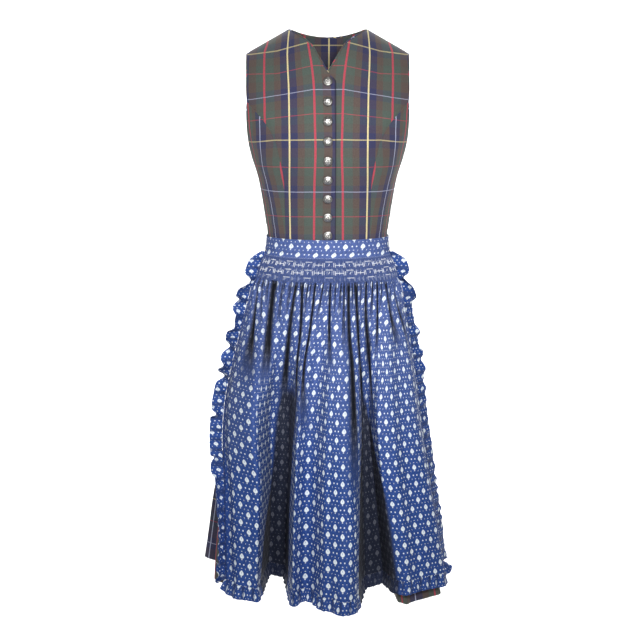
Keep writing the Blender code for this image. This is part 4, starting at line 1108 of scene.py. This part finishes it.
def printed_cotton(name):
    """Indigo cotton with motifs in offset rows, rows of dots between them, a slight sheen, and painted light
    and shade.
    """
    made, cut, across, down, hollow = cloth_material(
        name, {"Roughness": COTTON_ROUGH, "Sheen Weight": COTTON_SHEEN, "Specular IOR Level": COTTON_SHINE}
    )
    first, near_first = motif(across, down, (0.0, 0.0))
    second, near_second = motif(across, down, (PRINT_ACROSS / 2, PRINT_DOWN / 2))
    even = dots(across, down, (0.0, PRINT_DOWN / 4))
    odd = dots(across, down, (PRINT_ACROSS / 8, 0.0))
    small = worked("MAXIMUM", even, odd) * (1.0 - worked("MAXIMUM", near_first, near_second))
    ink = worked("MAXIMUM", worked("MAXIMUM", first, second), small)
    # Painted light: the indigo is lighter towards the top of the cut cloth, as if more light fell there.
    painted_top_light = worked("MULTIPLY_ADD", down, -3.0, 1.35, clamp=True)
    dyed = tinted(cut, mixed(painted_top_light, INDIGO, INDIGO_PAINTED_LIT), 240.0, 0.74, 1.26)
    # Painted shade: where it is set, the ground goes over to near black and the print shows grey, or not at
    # all.
    seen = worked("MULTIPLY_ADD", hollow, -12.0, 12.0, clamp=True)
    dim = mixed(ink * seen, mixed(seen, DARKEST, DARK), DARK_PRINT)
    out_of_sight = worked("MULTIPLY", hollow, 2.6, clamp=True)
    lit = mixed(ink * (1.0 - out_of_sight), dyed, tinted(cut, PRINT_WHITE, 900.0, 0.90, 1.06))
    shade(cut.tree, {"Base Color": mixed(hollow, lit, dim)})
    raise_weave(cut, COTTON_RIBS, COTTON_RELIEF)
    return made


def across_apron(even):
    return EDGE_SHARES[0] + (EDGE_SHARES[1] - EDGE_SHARES[0]) * even


def cotton_piece(name, solid, points, thick, cut, hollow=0.0):
    """One piece of the printed cotton, sewn on in place of its solid."""
    piece = cloth_piece(name, points, thick, prints, cut, hollow=hollow)
    sew_on(piece, "indigo_cotton", solid)
    return piece


prints = printed_cotton("printed_cotton")
even = spread(0.0, 1.0, 240)
heights = np.linspace(BAND_TOP_Z, SMOCK_TOP_Z, 15)[:, None]
plain = front_line(across_apron(even), heights)
down = BAND_TOP_Z - heights
wavy = np.sin(even * 131 + 2 * np.sin(even * 23)) * ease((down - 0.012) / 0.010)
body = 0.0011 * (1 - np.abs(down / 0.013 - 1) ** 4)
stitched = near(down, 0.0232, 0.0007) + near(down, 0.0022, 0.0007)
band = plain + outward(plain) * (body + 0.00035 * wavy - 0.00045 * stitched)[..., None]
cut = (lengths(plain, 1) - BAND_HALF, down - BAND_PRINT)
waistband = cotton_piece("waistband_cloth", "apron_waistband", band, APRON_CLOTH, cut)

PANEL_TOP_Z = SMOCK_FOOT_Z - SEAM_GAP
panel_even = spread(0.0, 1.0, 560)
heights = PANEL_TOP_Z + (APRON_HEM_Z - PANEL_TOP_Z) * spread(0, 1, 84)[:, None] ** 1.15
inward, painted_dark = gathers(panel_even, heights)
relief = hanging_creases(panel_even, heights) + PANEL_PROUD * ease((SMOCK_FOOT_Z - heights) / 0.02) - inward
panel_points = front_line(across_apron(panel_even), heights, relief, APRON_LIFT)
panel_points[..., 2] -= CORNER_SAG * fall(heights) * ease((panel_even - 0.86) / 0.14)
# Painted shade: in the valleys and deep folds, and along the side seams where the ruffles join.
hollow = np.maximum(painted_dark, SEAM_PAINTED_SHADE * (1 - ease(from_ends(panel_even) / SEAM_PAINTED_SHADE_END)))

# Its threads: each lobe keeps the print at its true scale, and the valley beside it hides the rest
arc = lengths(panel_points, 1)
full_width = arc[-1, -1] * 1.004
flat_place = full_width * panel_even
thread = np.zeros_like(arc)
for j, z in enumerate(heights[:, 0]):
    runs = [valley_line(top, foot, end, z) for top, foot, _, _, end in zip(*VALLEYS.values())]
    middles = np.array([middle for _, middle in runs])
    lobes = np.concatenate([[0.0], (middles[1:] + middles[:-1]) / 2, [1.0]])
    edges = np.round(lobes * (len(panel_even) - 1)).astype(int)
    for (gone, middle), half, first, last in zip(runs, VALLEYS["half"], edges, edges[1:]):
        step = np.diff(arc[j, first : last + 1])
        need = flat_place[last] - flat_place[first] - step.sum()
        away = (panel_even[first + 1 : last + 1] + panel_even[first:last]) / 2 - middle
        in_valley = step / (1 + (away / half) ** 6)
        kept = (1 - ease((gone - 0.45) / 0.55)) * (need > 0)
        share = in_valley / in_valley.sum() * kept + step / step.sum() * (1 - kept)
        thread[j, first] = flat_place[first]
        thread[j, first + 1 : last + 1] = flat_place[first] + np.cumsum(step + need * share)
stray = thread - flat_place
for _ in range(12):
    stray[1:-1] = (stray[:-2] + 2 * stray[1:-1] + stray[2:]) / 4
down = lengths(panel_points, 0).mean(axis=1)[:, None]
cut = (flat_place + stray + PANEL_PRINT[0], down + PANEL_PRINT[1])
panel = cotton_piece("gathered_panel", "apron_panel", panel_points, APRON_CLOTH, cut, hollow)

# The smocked part: rounded pleats side by side, pinched where the rows of stitches hold them
STITCH_ROWS = (-0.4525, -0.4672)
PLEAT_TOP_Z = -0.4405
smock_even = spread(0.0, 1.0, PLEATS * 7)
heights = np.linspace(SMOCK_TOP_Z - SEAM_GAP, SMOCK_FOOT_Z, 21)[:, None]
pleat_turn = PLEATS * (smock_even + 0.0016 * np.sin(61 * smock_even) + 0.0009 * np.sin(137 * smock_even + 1))
pleat = np.abs(np.sin(math.pi * pleat_turn)) ** 0.62 * (0.86 + 0.14 * np.sin(smock_even * 311))
plain = front_line(across_apron(smock_even), heights)
tall = PLEAT_TALL - PINCH * sum(near(heights, row, PINCH_REACH) for row in STITCH_ROWS)
tall = tall * (ease((PLEAT_TOP_Z - heights) / 0.004) * 0.92 + 0.08)
proud = tall * (pleat - 0.35) * ease(from_ends(smock_even) / 0.01)
smock_points = plain + outward(plain) * proud[..., None]
flat_cloth = lengths(plain, 1) - BAND_HALF
in_pleats = (heights < PLEAT_TOP_Z - 0.001) * 1.0
on_pleats = np.floor(pleat_turn) * full_width / PLEATS + (pleat_turn % 1 - 0.5) * 0.0040
cut = (flat_cloth + (on_pleats - flat_cloth) * in_pleats, (heights[0] - heights) * 1.1 + SMOCK_PRINT)
# Painted shade over the whole pleated part, below the pleats' tops.
painted_shade_on_pleats = PLEAT_PAINTED_SHADE * in_pleats
smocking = cotton_piece("smocked_part", "apron_smocking", smock_points, SMOCK_CLOTH, cut, painted_shade_on_pleats)

# -------------------- smocking stitches
# White embroidery thread over the pleats: two staggered rows of open boxes and crossed bars, which hold
# the pleats as well as decorate them.
THREAD_RADIUS = 0.00062
THREAD_END = 0.35  # share of the thread's radius at its round ends
BOX_STEP = 0.0405  # from one box to the next in a row
FIRST_BOX = 0.0026
THREAD_DARK, THREAD_WHITE = (0.72, 0.76, 0.86), (0.92, 0.94, 0.97)
# Strokes of each stitch, from across and up to across and up; the last row's boxes have one more below
OPEN_BOX = (
    (-0.0093, -0.0034, -0.0093, 0.0034), (0.0093, -0.0034, 0.0093, 0.0034),
    (-0.0064, 0.0058, 0.0064, 0.0058), (-0.0007, -0.0016, 0.0009, 0.0016),
)
BOX_FOOT = ((-0.0064, -0.0088, 0.0064, -0.0088),)
CROSSED_BAR = (
    (-0.0080, 0.0, 0.0080, 0.0), (-0.0080, -0.0037, -0.0080, 0.0037),
    (0.0080, -0.0037, 0.0080, 0.0037), (0.0, -0.0024, 0.0, 0.0024),
)


def stitch(points, radius=THREAD_RADIUS, sides=6):
    """A short length of thread through the points, with round ends."""
    along = unit(np.gradient(points, axis=0))
    ends = points[0] - along[0] * radius * 0.9, points[-1] + along[-1] * radius * 0.9
    points = np.concatenate([ends[:1], points, ends[1:]])
    along = np.concatenate([along[:1], along, along[-1:]])
    size = np.full((len(points), 1, 1), radius)
    size[0] = size[-1] = radius * THREAD_END
    rings = rings_round(points, along, unit(np.cross(along, (0.31, 0.77, 0.55))), size, sides)
    return rings.reshape(-1, 3), tube(len(points), sides)[0] + caps(len(points), sides)


smock_top = plain + outward(plain) * (proud.max(axis=1) + 0.0006)[:, None, None]
smock_arc = lengths(plain, 1)[10]
smock_middle = float(np.interp(0.0, plain[10, :, 0], smock_arc))


def on_smocking(across, z):
    """A point on the pleats' tops, at a distance along from centre front and a height."""
    place = np.interp(smock_middle + across, smock_arc, np.arange(len(smock_even)))
    column = int(np.clip(place, 0, len(smock_even) - 2))
    line = smock_top[:, column] + (smock_top[:, column + 1] - smock_top[:, column]) * (place - column)
    return points_at(line[::-1], line[::-1, 2], z)


def smocking_stitches(steps=3):
    """Both rows of stitches, as one mesh of short threads."""
    points, faces = [], []
    reach = smock_arc[-1] / 2 - 0.010
    for row in STITCH_ROWS:
        box = OPEN_BOX + (BOX_FOOT if row == STITCH_ROWS[-1] else ())
        for k in range(-5, 6):
            for shift, strokes in ((0.0, box), (BOX_STEP / 2, CROSSED_BAR)):
                middle = FIRST_BOX + k * BOX_STEP + shift
                z = row + 0.0005 * math.sin(k * 2.3 + shift * 90 + row * 400)
                for x, up, x_to, up_to in strokes if abs(middle) <= reach else ():
                    path = np.linspace((middle + x, z + up), (middle + x_to, z + up_to), steps)
                    made, sides = stitch(np.array([on_smocking(*place) for place in path]))
                    faces += [[corner + len(points) for corner in face] for face in sides]
                    points += made.tolist()
    thread, tree = material("white_thread", {"Roughness": 0.55})
    place = node(tree, "TexCoord", "Object", {})
    twist = node(tree, "TexWave", "Fac", {"Scale": 420.0, "Vector": place}, bands_direction="DIAGONAL")
    shade(tree, {"Base Color": mixed(twist, THREAD_DARK, THREAD_WHITE)})
    piece = placed("smocking_stitches", new_mesh("smocking_stitches", np.array(points), faces, thread))
    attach(piece, "root")


smocking_stitches()

# -------------------- side ruffles
# A strip of the same print, hemmed and gathered along one edge, sewn down each side of the apron.
RUFFLE_CLOTH = 0.0009
RUFFLE_WIDTH = 0.026
RUFFLE_WAVE = 0.0020
RUFFLE_PAINTED_SHADE = 0.50  # how much shade is painted between its gathers
PUCKER_AT, PUCKER_REACH = 0.14, 0.18  # where across it its gathers pucker most
SIDE_WAVES = 28
# How far each ruffle turns from the cloth's own line, towards the front, at each height: where it swings
# from back to front it stands out as a lobe
RUFFLE_TURNS = {
    "right": table(
        "z turned",
        (-0.431, 20), (-0.448, 60), (-0.47, 70), (-0.489, 132), (-0.508, 72), (-0.517, 60),
        (-0.532, 10), (-0.547, 66), (-0.56, 120), (-0.583, 122), (-0.597, 75), (-0.611, 55),
        (-0.629, 10), (-0.646, 66), (-0.661, 122), (-0.674, 75), (-0.694, 10), (-0.708, 58),
        (-0.752, 82), (-0.763, 128), (-0.774, 82), (-0.842, 56), (-0.85, 20), (-0.858, 52),
        (-0.87, 78), (-0.879, 112), (-0.925, 112), (-0.96, 118), (-1.005, 114), (-1.034, 108),
        (-1.046, 96), (-1.056, 106), (-1.066, 94), (-1.088, 112),
    ),
    "left": table(
        "z turned",
        (-0.431, 20), (-0.45, 60), (-0.468, 72), (-0.484, 128), (-0.502, 80), (-0.52, 60),
        (-0.539, 6), (-0.58, 4), (-0.599, 26), (-0.613, 2), (-0.63, 12), (-0.643, 26),
        (-0.656, 2), (-0.674, 26), (-0.69, 2), (-0.712, 8), (-0.75, 2), (-0.9, 4),
        (-1.04, 4), (-1.08, 12),
    ),
}


def evened(line, width):
    """Level directions evened out along a line, apart from its ends."""
    half = width // 2
    line = line * (1.0, 1.0, 0.0)
    for axis in range(2):
        line[half:-half, axis] = np.convolve(line[:, axis], np.ones(width) / width, "valid")
    return line


def side_ruffle(word, column, side, steps=420, cells=9):
    """The strip down one side, swinging out from the cloth and waving more towards its free edge."""
    beside = 12 if column == 0 else -13
    path = np.concatenate([plain[:, column], panel_points[1:, column]])[::-1]
    cloth = np.concatenate([plain[:, beside * 2], panel_points[1:, beside]])[::-1]
    t, u = spread(0.0, 1.0, steps)[:, None], spread(0.0, 1.0, cells)
    top_z = SMOCK_TOP_Z - 0.004
    z = top_z + (path[0, 2] - 0.012 - top_z) * t[:, 0]
    edge = points_at(path, path[:, 2], z)
    along = evened(unit((edge - points_at(cloth, cloth[:, 2], z)) * (1.0, 1.0, 0.0)), 13)
    out = together(along[:, 1], -along[:, 0], 0.0)
    out *= np.sign((out * edge).sum(axis=1))[:, None]
    turn = 2 * math.pi * SIDE_WAVES * (t + 0.008 * np.sin(23 * t + side) + 0.004 * np.sin(57 * t + 2 * side))
    wave = np.cos(turn) * (0.75 + 0.35 * np.sin(17 * t + side * 1.4))
    pucker = np.cos(turn * 2.0 + 1.5 * np.sin(31 * t))
    full = ease((t * 60 + 1.3) / 3)
    lean = np.radians(smooth(RUFFLE_TURNS[word], "turned", z))[:, None] * (0.72 + 0.28 * u)
    width = (SEAM_GAP + RUFFLE_WIDTH * full * u)[..., None]
    bend = ((wave * RUFFLE_WAVE * u + 0.0011 * pucker * near(u, PUCKER_AT, PUCKER_REACH)) * full)[..., None]
    c, s = np.cos(lean)[..., None], np.sin(lean)[..., None]
    along, out = along[:, None], out[:, None]
    points = edge[:, None] + (along * c + out * s) * width + (out * c - along * s) * bend
    middle = lengths(points, 0)[:, cells // 2, None]
    cut = (0.35 * middle + u * 0.027 + 0.006, middle * 1.35 + 20 * PRINT_DOWN)
    # Painted shade between the gathers, less towards the free edge.
    between = RUFFLE_PAINTED_SHADE * ease((-np.cos(turn) - 0.25) / 0.65) * (1 - 0.55 * u)
    strip = cotton_piece(f"side_ruffle_{word}", f"apron_ruffle_{word}", points, RUFFLE_CLOTH, cut, between)


side_ruffle("right", 0, -1.0)
side_ruffle("left", -1, 1.0)

# -------------------- hem ruffle
# A wider strip gathered along the apron's lower edge, under a line of stitching.
HEM_RUFFLE = 0.026
HEM_RUFFLE_END = 0.10
HEM_WAVES = 46
HEM_FLARE = 0.0045
HEM_WAVE = 0.0024
HEM_SCALLOP = 0.10
HEM_CORNERS = (0.004, 0.018)  # how far its lower corners stand out to the sides
HEM_ROUND, HEM_ROUND_END = 0.40, 0.016  # how much shorter its ends are, and over what share of it


def hem_ruffle(steps=1100, cells=9):
    """The strip along the hem, flaring towards its free edge, most at the corners."""
    line = panel_points[-1]
    length = lengths(line, 0)
    t, u = spread(0.0, 1.0, steps), spread(0.0, 1.0, cells)[:, None]
    at = t * length[-1]
    seam = points_at(line, length, at)
    run = evened(np.gradient(seam, axis=0), 21)
    normal = unit(together(run[:, 1], -run[:, 0], 0.0))
    sideways = unit(np.gradient(seam, axis=0))
    turn = 2 * math.pi * HEM_WAVES * (t + 0.0042 * np.sin(37 * t) + 0.0025 * np.sin(91 * t + 1.0))
    wave = np.cos(turn) * (0.80 + 0.30 * np.sin(29 * t + 0.7) + 0.15 * np.sin(71 * t))
    pucker = np.cos(turn * 2.0 + 1.5 * np.sin(47 * t))
    lift = HEM_FLARE * (2.6 - 1.6 * ease(from_ends(t) / HEM_RUFFLE_END) + ease((t - 0.95) / 0.05))
    scallop = HEM_SCALLOP * (1 - np.abs(np.sin(turn / 2))) ** 2
    corner = HEM_CORNERS[1] * ease((t - 0.96) / 0.04) - HEM_CORNERS[0] * ease((0.04 - t) / 0.04)
    rounded = 1 - HEM_ROUND * np.clip(1 - from_ends(t) / HEM_ROUND_END, 0.0, 1.0) ** 2
    out = lift * u + wave * HEM_WAVE * u**0.9 + 0.0010 * pucker * near(u, PUCKER_AT, PUCKER_REACH)
    down = SEAM_GAP + HEM_RUFFLE * u * (1 - scallop * u**2) * rounded
    points = seam + normal * out[..., None] + sideways * (corner * u**0.6)[..., None]
    points[..., 2] -= down
    cut = (at * 1.5, u * 0.028 + 20 * PRINT_DOWN)
    # Painted shade between the gathers and, as on the panel, over the floors of the deep folds.
    between = RUFFLE_PAINTED_SHADE * ease((-np.cos(turn) - 0.45) / 0.50) * (1 - 0.75 * u)
    shaded = np.maximum(0.85 * fold_floors(t, APRON_HEM_Z), between)
    strip = cotton_piece("hem_ruffle", "apron_ruffle_hem", points, RUFFLE_CLOTH, cut, shaded)


hem_ruffle()

# -------------------- apron ties
# The waistband runs on into two ties, which cross at the centre back in a flat knot and hang in tails.
KNOT_HALF = (0.0085, 0.0060, (BAND_TOP_Z - SMOCK_TOP_Z) / 2)
KNOT_POWER = 0.62
TAIL_CLOTH = 0.0009
TAIL_LENGTH = 0.340
TAIL_TOP_HALF = 0.0075
TAIL_HALF = 0.015
TAIL_TOP_MIDDLE = 0.0085
TAIL_SPREAD = 0.018
TAIL_OUT = 0.0030
TIE_START = APRON_EDGE["left"][0] + 0.2


def make_ties():
    """Both ties, drawn into gathers where they reach the knot."""
    knot_angle = math.degrees(math.asin((KNOT_HALF[0] + SEAM_GAP) / smooth(SKIRT, "left", BAND_TOP_Z)))
    heights = np.linspace(BAND_TOP_Z, SMOCK_TOP_Z, 13)[:, None]
    share = (BAND_TOP_Z - heights) / (BAND_TOP_Z - SMOCK_TOP_Z)
    for side, word in ((-1, "right"), (1, "left")):
        angles = side * np.linspace(TIE_START, 180 - knot_angle - 0.1, 121)[::side]
        points = cloth_line(angles, heights, 0.0)
        to_knot = ease((np.abs(angles) - 120) / 50)
        gathered = np.cos(2 * math.pi * 3 * share + 0.4) * to_knot
        pull = np.sin(angles / 4.2 + 9 * share) * 0.3 * (1 - to_knot)
        seams = near(share, 0.09, 0.03) + near(share, 0.91, 0.03)
        relief = 0.0008 * gathered + 0.0005 * pull - 0.0003 * seams * (1 - to_knot)
        points = points + outward(points) * relief[..., None]
        cut = (lengths(points, 1) + 0.3, share * 0.026)
        tie = cotton_piece(f"tie_{word}", f"apron_tie_{word}", points, APRON_CLOTH, cut)


def make_knot(sides=72, rows=41):
    """The knot: two turns of tie wrapped over each other, rounded and full of small folds."""
    turn, rise = np.meshgrid(np.linspace(0, 2 * math.pi, sides + 1)[-2::-1], np.linspace(-1, 1, rows))
    size = np.maximum(1 - np.abs(rise) ** 3.2, 0.02) ** 0.5
    x, y = (np.copysign(np.abs(part) ** KNOT_POWER, part) * size for part in (np.cos(turn), np.sin(turn)))
    fold = 0.035 * np.cos((rise * 5.2 + x * 2.1) * 2.3) + 0.06 * np.cos(rise * 9 - x * 3.0)
    swell = 0.94 + fold * size
    points = together(x * swell, y * swell, rise) * KNOT_HALF
    faces = tube(rows, sides)[0] + caps(rows, sides)
    cut = together(turn * KNOT_HALF[0], rise * KNOT_HALF[2]).reshape(-1, 2)
    knot = placed("tie_knot", new_mesh("knot", points, faces, prints, cut))
    knot_y = smooth(SKIRT, "back", SMOCK_TOP_Z) - WAIST_UNDER - SEAM_GAP + KNOT_HALF[1]
    knot.location = (0.0, knot_y, (BAND_TOP_Z + SMOCK_TOP_Z) / 2)
    sew_on(knot, "indigo_cotton", "apron_knot")


def make_tails(rows=110, columns=22):
    """Both tails, narrow at the knot, opening out and curling a little as they hang."""
    share, u = np.linspace(0, 1, rows)[:, None], np.linspace(-1, 1, columns)
    z = SMOCK_TOP_Z - SEAM_GAP - TAIL_LENGTH * share
    half = smooth(SKIRT, "left", z)
    opened = ease(share * 4)
    middle = np.degrees((TAIL_TOP_MIDDLE + TAIL_SPREAD * opened) / half)
    width = np.degrees((TAIL_TOP_HALF + (TAIL_HALF - TAIL_TOP_HALF) * opened) / half)
    near_top = ease(share / 0.03)
    for side, word in ((-1, "right"), (1, "left")):
        fold = 0.0024 * np.cos(u * 5.2 + 0.8 * np.sin(5 * share + side)) * (1 - 0.55 * share)
        ripple = 0.0010 * np.sin(share * 31 + u * 2.0 + side) * ease(share / 0.1)
        curl = 0.0022 * u * np.sin(share * 6.0 + side) * ease(share / 0.2)
        out = TAIL_OUT + (fold + 0.0012) * (0.35 + 0.65 * near_top) + (ripple + curl) * near_top
        points = cloth_line(180 - side * (middle + width * u), z, out)
        cut = (u * 0.021, share * 0.345)
        tail = cotton_piece(f"tail_{word}", f"apron_tail_{word}", points, TAIL_CLOTH, cut)


make_ties()
make_knot()
make_tails()
